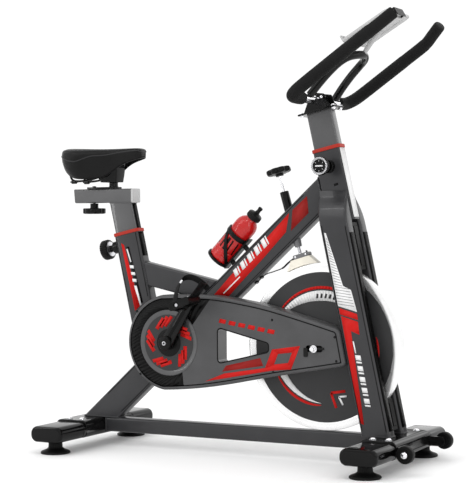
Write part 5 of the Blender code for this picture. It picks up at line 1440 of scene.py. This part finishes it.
def build_tablet_holder():
    slope = math.radians(30.0)
    fore, up = sloped(slope), leaned(slope)
    centre = Vector((0.4120, 0, 1.1640))

    def slab(along, side, height, length, width, thick, corner):
        """A block placed and sized along the tray, across it and square to it."""
        at = centre + fore * along + Y_AXIS * side + up * height
        return block(at, fore, Y_AXIS, up, length, width, thick, corner)

    def edge_slab(along, height, length, width, thick, corner, steps):
        """A block that stands along the tray's lower edge."""
        at = centre + fore * along + up * height
        return block(at, Y_AXIS, fore, up, length, width, thick, corner, steps)

    outline = rounded_rectangle(0.150, 0.164, 0.012, 8)
    rings = []
    for height, scale in (
        (-0.0030, 0.985),
        (-0.0024, 1.0),
        (0.0030, 1.0),
        (0.0038, 0.995),
        (0.0038, 0.965),
        (0.0012, 0.950),
    ):
        rings.append(ring(centre + up * height, fore, Y_AXIS, [(a * scale, b * scale) for a, b in outline]))
    parts = [loft(rings), edge_slab(-0.073, 0.0095, 0.150, 0.0035, 0.017, 0.005, 6)]
    parts.append(slab(0.030, 0, -0.008, 0.075, 0.040, 0.011, 0.003))
    parts += [slab(0, side * 0.05, -0.0045, 0.110, 0.008, 0.004, 0.001) for side in (-1, 1)]
    tray = joined(*parts)
    piece("tablet_holder", tray, "white_plastic", "handlebar_post", ["tablet_holder"], bevel=0.0006)
    pads = [slab(along, 0, 0.0022, 0.008, 0.110, 0.0020, 0.0008) for along in (-0.035, 0.0, 0.035)]
    pads.append(edge_slab(-0.0707, 0.0095, 0.120, 0.0012, 0.010, 0.002, 4))
    piece("tablet_holder_pads", joined(*pads), "grey_plastic", "handlebar_post", bevel=0.0004)
    # The clip's plate and hook, and the two arms that keep it in the tray when it is pulled.
    parts = [slab(0.0785, 0, 0, 0.003, 0.060, 0.020, 0.001)]
    parts.append(slab(0.0720, 0, 0.0105, 0.016, 0.060, 0.003, 0.001))
    parts += [slab(0.0490, side * 0.0245, -0.0062, 0.060, 0.006, 0.003, 0.001) for side in (-1, 1)]
    piece("tablet_clip", joined(*parts), "black_plastic", "tablet_clip", ["tablet_clip"], bevel=0.0007)
    # A stalk under the tray that joins it to the middle hoop.
    foot = Vector((0.3770, 0, 1.1010))
    tip = centre + fore * 0.010 - up * 0.012
    stalk = smooth_path([foot, foot.lerp(tip, 0.5) + up * 0.002, tip], 6)
    piece("tablet_stalk", round_tube(stalk, 0.0065, 20), "pale_plastic", "handlebar_post")


# ---------------------------------------------------------------- bottle


def build_bottle():
    r = BOTTLE_RADIUS
    profile = [(r - 0.0085, 0.0015), (r - 0.0070, 0.0), (r - 0.0030, 0.0006), (r - 0.0006, 0.0032)]
    profile.append((r, 0.0065))
    for z in (0.018, 0.026, 0.034):
        profile += [(r, z), (r - 0.0010, z + 0.0012), (r - 0.0010, z + 0.0024), (r, z + 0.0036)]
    profile += [(r, 0.078), (r - 0.0016, 0.083), (r - 0.0016, 0.096), (r, 0.101), (r, 0.122)]
    profile += [(r - 0.0016, 0.1310), (r - 0.0055, 0.1395), (r - 0.0115, 0.1460), (0.0165, 0.1500)]
    profile.append((0.0165, 0.1530))
    shell = turned(profile, BOTTLE_FOOT, BOTTLE_UP, 64)
    piece("bottle_body", shell, "bottle_plastic", "bottle", ["bottle_body"], sharp=50)
    build_bottle_stripes()
    cap = [(0.0200, 0.1533), (0.0206, 0.1545), (0.0206, 0.1660), (0.0196, 0.1685), (0.0150, 0.1705)]
    cap += [(0.0085, 0.1725), (0.0068, 0.1750)]
    wave = [0, 0.0012, 0.0012, 0.0006, 0, 0, 0]
    cap = fluted(cap, BOTTLE_FOOT, BOTTLE_UP, 24, wave)
    piece("bottle_cap", cap, "black_plastic", "bottle", ["bottle_cap"], sharp=60)
    spout = [(0.0062, 0.1740), (0.0066, 0.1780), (0.0058, 0.1800), (0.0058, 0.1850), (0.0068, 0.1875)]
    spout += [(0.0068, 0.1915), (0.0045, 0.1930)]
    spout = turned(spout, BOTTLE_FOOT, BOTTLE_UP, 28)
    piece("bottle_spout", spout, "gloss_black_plastic", "bottle", sharp=35)


def build_bottle_stripes():
    """Dark slanted stripes round the lower half, a little off the wall."""
    bm = bmesh.new()
    for turn in (-150, -118, -96, -72, -40, 30, 62, 84, 108, 140):
        rows = []
        wide = 7.5 if turn in (-96, 84) else 4.0
        for z, lean in ((0.0385, 0.0), (0.0580, 4.0), (0.0775, 8.0)):
            row = []
            for i in range(5):
                t = math.radians(turn + lean + wide * (i / 2 - 1))
                out = Y_AXIS * math.sin(t) + BOTTLE_OUT * math.cos(t)
                row.append(bm.verts.new(BOTTLE_FOOT + BOTTLE_UP * z + out * (BOTTLE_RADIUS + 0.0003)))
            rows.append(row)
        for low, high in zip(rows, rows[1:]):
            for i in range(4):
                bm.faces.new((low[i], low[i + 1], high[i + 1], high[i]))
    for face in bm.faces:
        face.normal_update()
        middle = face.calc_center_median() - BOTTLE_FOOT
        if face.normal.dot(middle - BOTTLE_UP * middle.dot(BOTTLE_UP)) < 0:
            face.normal_flip()
    thicken(piece("bottle_stripes", bm, "mark_black_and_painted_shade", "bottle"), 0.00025)


def build_bottle_cage():
    r_in, r_out = BOTTLE_RADIUS + 0.0012, BOTTLE_RADIUS + 0.0040
    back = BOTTLE_FOOT - BOTTLE_OUT * r_out
    parts = [block(back + BOTTLE_UP * 0.050, BOTTLE_UP, Y_AXIS, BOTTLE_OUT, 0.112, 0.022, 0.0045, 0.001)]
    for low, high in ((-0.0055, 0.0015), (0.083, 0.096)):
        hoop = [(r_in, low), (r_out - 0.0006, low), (r_out, low + 0.0006)]
        hoop += [(r_out, high - 0.0006), (r_out - 0.0006, high), (r_in, high)]
        parts.append(turned_ring(hoop, BOTTLE_FOOT, BOTTLE_UP, 56))
    parts.append(turned([(r_out - 0.0008, -0.0056), (r_out - 0.0005, -0.0030)], BOTTLE_FOOT, BOTTLE_UP, 56))
    for along in (0.022, 0.080):
        tip = back + BOTTLE_UP * along
        foot = on_plane(tip, -BEAM_OUT, *beam_top_plane())
        parts.append(turned([(0.0070, 0), (0.0070, (tip - foot).length)], foot, BEAM_OUT, 24))
    for side in (-1, 1):
        route = []
        for i in range(25):
            share = i / 24
            turn = math.radians(-90 + side * (20 + 112 * share))
            out = Y_AXIS * math.cos(turn) + BOTTLE_OUT * math.sin(turn)
            route.append(BOTTLE_FOOT + BOTTLE_UP * (0.006 + 0.080 * share) + out * (r_in + 0.0014))
        parts.append(strap(route, BOTTLE_UP, 0.010, 0.0026))
    piece("bottle_cage", joined(*parts), "black_plastic", "frame", ["bottle_cage"], sharp=45)


# ---------------------------------------------------------------- marks on the frame


def edge_shade_lines(start, end, along):
    """Two thin black lines along a tube's side, near its edges: painted shade where its rounded corners turn
    away.
    """
    lines = []
    for s in (-1, 1):
        a, b = start + along * (s * 0.0335), end + along * (s * 0.0335)
        lines.append(("mark_black_and_painted_shade", bar_quad((a.x, a.z), (b.x, b.z), 0.0020)))
    return lines


def build_beam_marks(hand, side):
    half = TUBE_WIDTH / 2
    red = [(-0.0789, 0.4448), (-0.0210, 0.5045), (0.0770, 0.5939), (0.1606, 0.6760), (0.1510, 0.6241)]
    red += [(0.0850, 0.5560), (0.0120, 0.4860), (-0.0278, 0.4457)]
    dull = [(0.1710, 0.6840), (0.2153, 0.7217), (0.2195, 0.6755), (0.1660, 0.6270)]
    side_marks(f"beam_marks_{hand}", side, half, [("mark_red", red), ("mark_dull_red", dull)])
    # Painted shade along the beam's and the seat tube's rounded edges.
    lines = edge_shade_lines(BEAM_POINT - BEAM_UP * 0.70, BEAM_POINT + BEAM_UP * 0.155, BEAM_OUT)
    side_marks(f"beam_edges_{hand}", side, half, lines)
    lines = edge_shade_lines(SEAT_TUBE_TOP - POST_UP * 0.19, SEAT_TUBE_TOP - POST_UP * 0.002, POST_FORE)
    side_marks(f"seat_edges_{hand}", side, half, lines)
    white = [("mark_white_and_painted_highlight", bar_quad((-0.0452, 0.4524), (0.0075, 0.5000), 0.0032))]
    along, square = (0.744, 0.668), (-0.668, 0.744)
    start = (-0.0060, 0.4980)
    white += slanted_bars(start, along, square, 0.0300, 5, WIDE_AND_THIN, 0.0060, 0.0195, growth=0.0012)
    side_marks(f"beam_bars_{hand}", side, half, white, TOP_LIFT)


def build_leg_marks(hand, side):
    pale = [(0.2864, 0.6217), (0.2915, 0.6217), (0.3409, 0.4811), (0.3639, 0.4709), (0.3808, 0.4131)]
    pale.append((0.3260, 0.4278))
    band = [(0.3289, 0.4225), (0.3808, 0.4078), (0.3836, 0.3920), (0.3317, 0.4053)]
    stripe = [(0.3346, 0.4014), (0.3835, 0.3868), (0.3876, 0.3526), (0.3632, 0.3624), (0.3991, 0.1154)]
    stripe.append((0.3876, 0.1201))
    shapes = [("mark_white_and_painted_highlight", pale), ("mark_red", band), ("mark_red", stripe)]
    side_marks(f"leg_marks_{hand}", side, LEG_OUTER_Y, shapes)
    # Fine grey lines across the pale panel, which follow its two slanted edges.
    top, bend, foot = 0.6217, 0.4811, 0.4709
    lines = []
    for k in range(24):
        z = 0.6080 - 0.0076 * k
        left = 0.2895 + (top - z) * 0.1925
        right = 0.2935 + (top - z) * 0.3500 if z > bend else 0.3639 + (foot - z) * 0.29
        end = (max(right - 0.002, left + 0.001), z - 0.0055)
        lines.append(("mark_grey", bar_quad((left, z), end, 0.0013)))
    along, square = (0.2079, -0.9781), (0.9781, 0.2079)
    lines += slanted_bars((0.3745, 0.2990), along, square, 0.0290, 5, WIDE_AND_THIN, 0.0040, 0.0150)
    dash = [("mark_black_and_painted_shade", bar_quad((0.2960, 0.7500), (0.3080, 0.7535), 0.0060))]
    side_marks(f"head_tube_dash_{hand}", side, TUBE_WIDTH / 2, dash)
    lines.append(("mark_white_and_painted_highlight", bar_quad((0.3695, 0.3350), (0.3765, 0.3040), 0.0034)))
    # Dark lines near the leg's front and rear edges: painted shade along its rounded corners.
    for s in (-1, 1):
        low, high = [(leg_x(z) + s * 0.0345, z) for z in (0.100, 0.640)]
        lines.append(("mark_black_and_painted_shade", bar_quad(low, high, 0.0018)))
    side_marks(f"leg_lines_{hand}", side, LEG_OUTER_Y, lines, TOP_LIFT)
    # A dark strip down each leg's front face: painted shade.
    front = Vector((leg_x(0.35) + TUBE_DEPTH / 2 / math.cos(LEG_LEAN), side * 0.045, 0.35))
    painted_light_strip(f"leg_front_{hand}", "frame", front, -LEG_DOWN, 0.0150, -0.255, 0.280, lift=FLAT_LIFT)


def build_seat_tube_marks(hand, side):
    half = TUBE_WIDTH / 2
    shapes = [("mark_red", [(-0.3833, 0.5932), (-0.3731, 0.5874), (-0.3202, 0.4116), (-0.3373, 0.3967)])]
    dark = [(-0.3663, 0.5816), (-0.3200, 0.4130), (-0.3100, 0.4230), (-0.3560, 0.5830)]
    shapes.append(("mark_black_and_painted_shade", dark))
    side_marks(f"seat_tube_marks_{hand}", side, half, shapes)
    white = [("mark_white_and_painted_highlight", bar_quad((-0.3629, 0.5758), (-0.3500, 0.5380), 0.0040))]
    along, square = (0.2164, -0.9763), (0.9763, 0.2164)
    white += slanted_bars((-0.3545, 0.5290), along, square, 0.0200, 3, [(0.0, 0.0090)], 0.0035, 0.0130)
    white.append(("mark_white_and_painted_highlight", [(-0.3400, 0.4700), (-0.3310, 0.4700), (-0.3150, 0.4150), (-0.3195, 0.4130)]))
    side_marks(f"seat_tube_bars_{hand}", side, half, white, TOP_LIFT)


def painted_light_strip(name, body, origin, up, half, low, high, material="panel_paint_and_painted_shade", lift=0.0002):
    """A strip down a tube's front face that paints light on it: dark by default, as painted shade, and white
    where it is a painted highlight.
    """
    shape = [(-half, low), (half, low), (half, high), (-half, high)]
    marks(name, body, origin, Y_AXIS, up, [(material, shape)], lift)


def build_frame_marks():
    for hand, side in HANDS:
        build_beam_marks(hand, side)
        build_leg_marks(hand, side)
        build_seat_tube_marks(hand, side)


def build_painted_light_strips():
    """Painted light down the tube fronts: a white strip down the head tube's front as a painted highlight, and
    dark strips down the seat tube's and the seat post's as painted shade.
    """
    head = HEAD_TUBE_TOP + POST_FORE * (TUBE_DEPTH / 2)
    painted_light_strip("head_tube_front_painted_highlight", "frame", head, POST_UP, 0.0165, -0.192, -0.001, "mark_white_and_painted_highlight")
    tube = SEAT_TUBE_TOP + POST_FORE * (TUBE_DEPTH / 2)
    painted_light_strip("seat_tube_front_painted_shade", "frame", tube, POST_UP, 0.0145, -0.072, -0.001)
    inner = SEAT_TUBE_TOP + POST_FORE * (POST_DEPTH / 2)
    painted_light_strip("seat_post_front_painted_shade", "seat_post", inner, POST_UP, 0.0115, -0.05, 0.0955)


# ---------------------------------------------------------------- stage, lights and camera


def build_stage():
    mesh = bpy.data.meshes.new("floor")
    mesh.from_pydata([(-40, -40, 0), (40, -40, 0), (40, 40, 0), (-40, 40, 0)], [], [(0, 1, 2, 3)])
    floor = bpy.data.objects.new("floor", mesh)
    bpy.context.scene.collection.objects.link(floor)
    material = bpy.data.materials.new("floor_paper")
    material.use_nodes = True
    shader = material.node_tree.nodes["Principled BSDF"]
    shader.inputs["Base Color"].default_value = (0.97, 0.97, 0.97, 1)
    shader.inputs["Roughness"].default_value = 0.7
    mesh.materials.append(material)
    world = bpy.data.worlds.new("studio")
    bpy.context.scene.world = world
    world.use_nodes = True
    world.node_tree.nodes["Background"].inputs["Color"].default_value = (1.0, 1.0, 1.0, 1)
    world.node_tree.nodes["Background"].inputs["Strength"].default_value = 1.05
    bpy.context.scene.view_settings.view_transform = "Standard"
    for name, place, wide, tall, power in (
        ("key", (-1.4, -2.6, 3.2), 1.6, 1.6, 14),
        ("front", (3.2, 0.8, 1.8), 1.4, 1.4, 4),
        ("back", (1.2, 3.0, 1.6), 1.2, 1.2, 5),
        ("top_strip", (0.1, -1.5, 3.3), 3.2, 0.14, 16),
        ("side_strip", (3.0, -1.6, 1.5), 0.12, 2.2, 11),
        ("rear_strip", (-2.4, -2.4, 1.4), 0.12, 2.2, 9),
    ):
        data = bpy.data.lights.new(name, "AREA")
        data.shape = "RECTANGLE"
        data.size = wide
        data.size_y = tall
        data.energy = power
        lamp = bpy.data.objects.new(name, data)
        lamp.location = place
        lamp.rotation_euler = (Vector((0, 0, 0.5)) - Vector(place)).to_track_quat("-Z", "Y").to_euler()
        bpy.context.scene.collection.objects.link(lamp)


def build_camera():
    yaw, pitch, roll = math.radians(28.236), math.radians(0.872), math.radians(-0.395)
    ahead = Vector((-math.sin(yaw) * math.cos(pitch), math.cos(yaw) * math.cos(pitch), -math.sin(pitch)))
    level = Vector((math.cos(yaw), math.sin(yaw), 0))
    top = level.cross(ahead)
    right = level * math.cos(roll) + top * math.sin(roll)
    up = top * math.cos(roll) - level * math.sin(roll)
    data = bpy.data.cameras.new("camera")
    data.lens = 112.77
    data.sensor_width = 36.0
    data.clip_end = 200.0
    camera = bpy.data.objects.new("camera", data)
    matrix = Matrix((right, up, -ahead)).transposed().to_4x4()
    matrix.translation = Vector((1.990, -3.7283, 0.662))
    camera.matrix_world = matrix
    bpy.context.scene.collection.objects.link(camera)
    bpy.context.scene.camera = camera


def build_bike():
    build_tubes()
    build_legs()
    build_feet()
    build_drive()
    build_brake()
    build_seat_post()
    seat_face = SEAT_TUBE_TOP - POST_UP * SEAT_PIN_DROP - POST_FORE * (TUBE_DEPTH / 2)
    sizes = {"boss": 0.016, "knob_from": 0.031, "knob_to": 0.054, "radius": 0.0280}
    build_pull_pin("seat_pin", seat_face, -POST_FORE, **sizes)
    build_carriage()
    build_saddle_cushion()
    build_saddle_fittings()
    build_handlebar_post()
    build_handlebar()
    build_tablet_holder()
    along = POST_UP * ((HEAD_PIN_Z - HEAD_TUBE_TOP.z) / POST_UP.z)
    head_face = HEAD_TUBE_TOP + along - Y_AXIS * (TUBE_WIDTH / 2)
    sizes = {"boss": 0.018, "knob_from": 0.044, "knob_to": 0.066, "radius": 0.0235}
    build_pull_pin("head_pin", head_face, -Y_AXIS, **sizes, dial=True)
    build_bottle()
    build_bottle_cage()
    build_frame_marks()
    build_painted_light_strips()


make_materials()
build_bike()
build_stage()
build_camera()
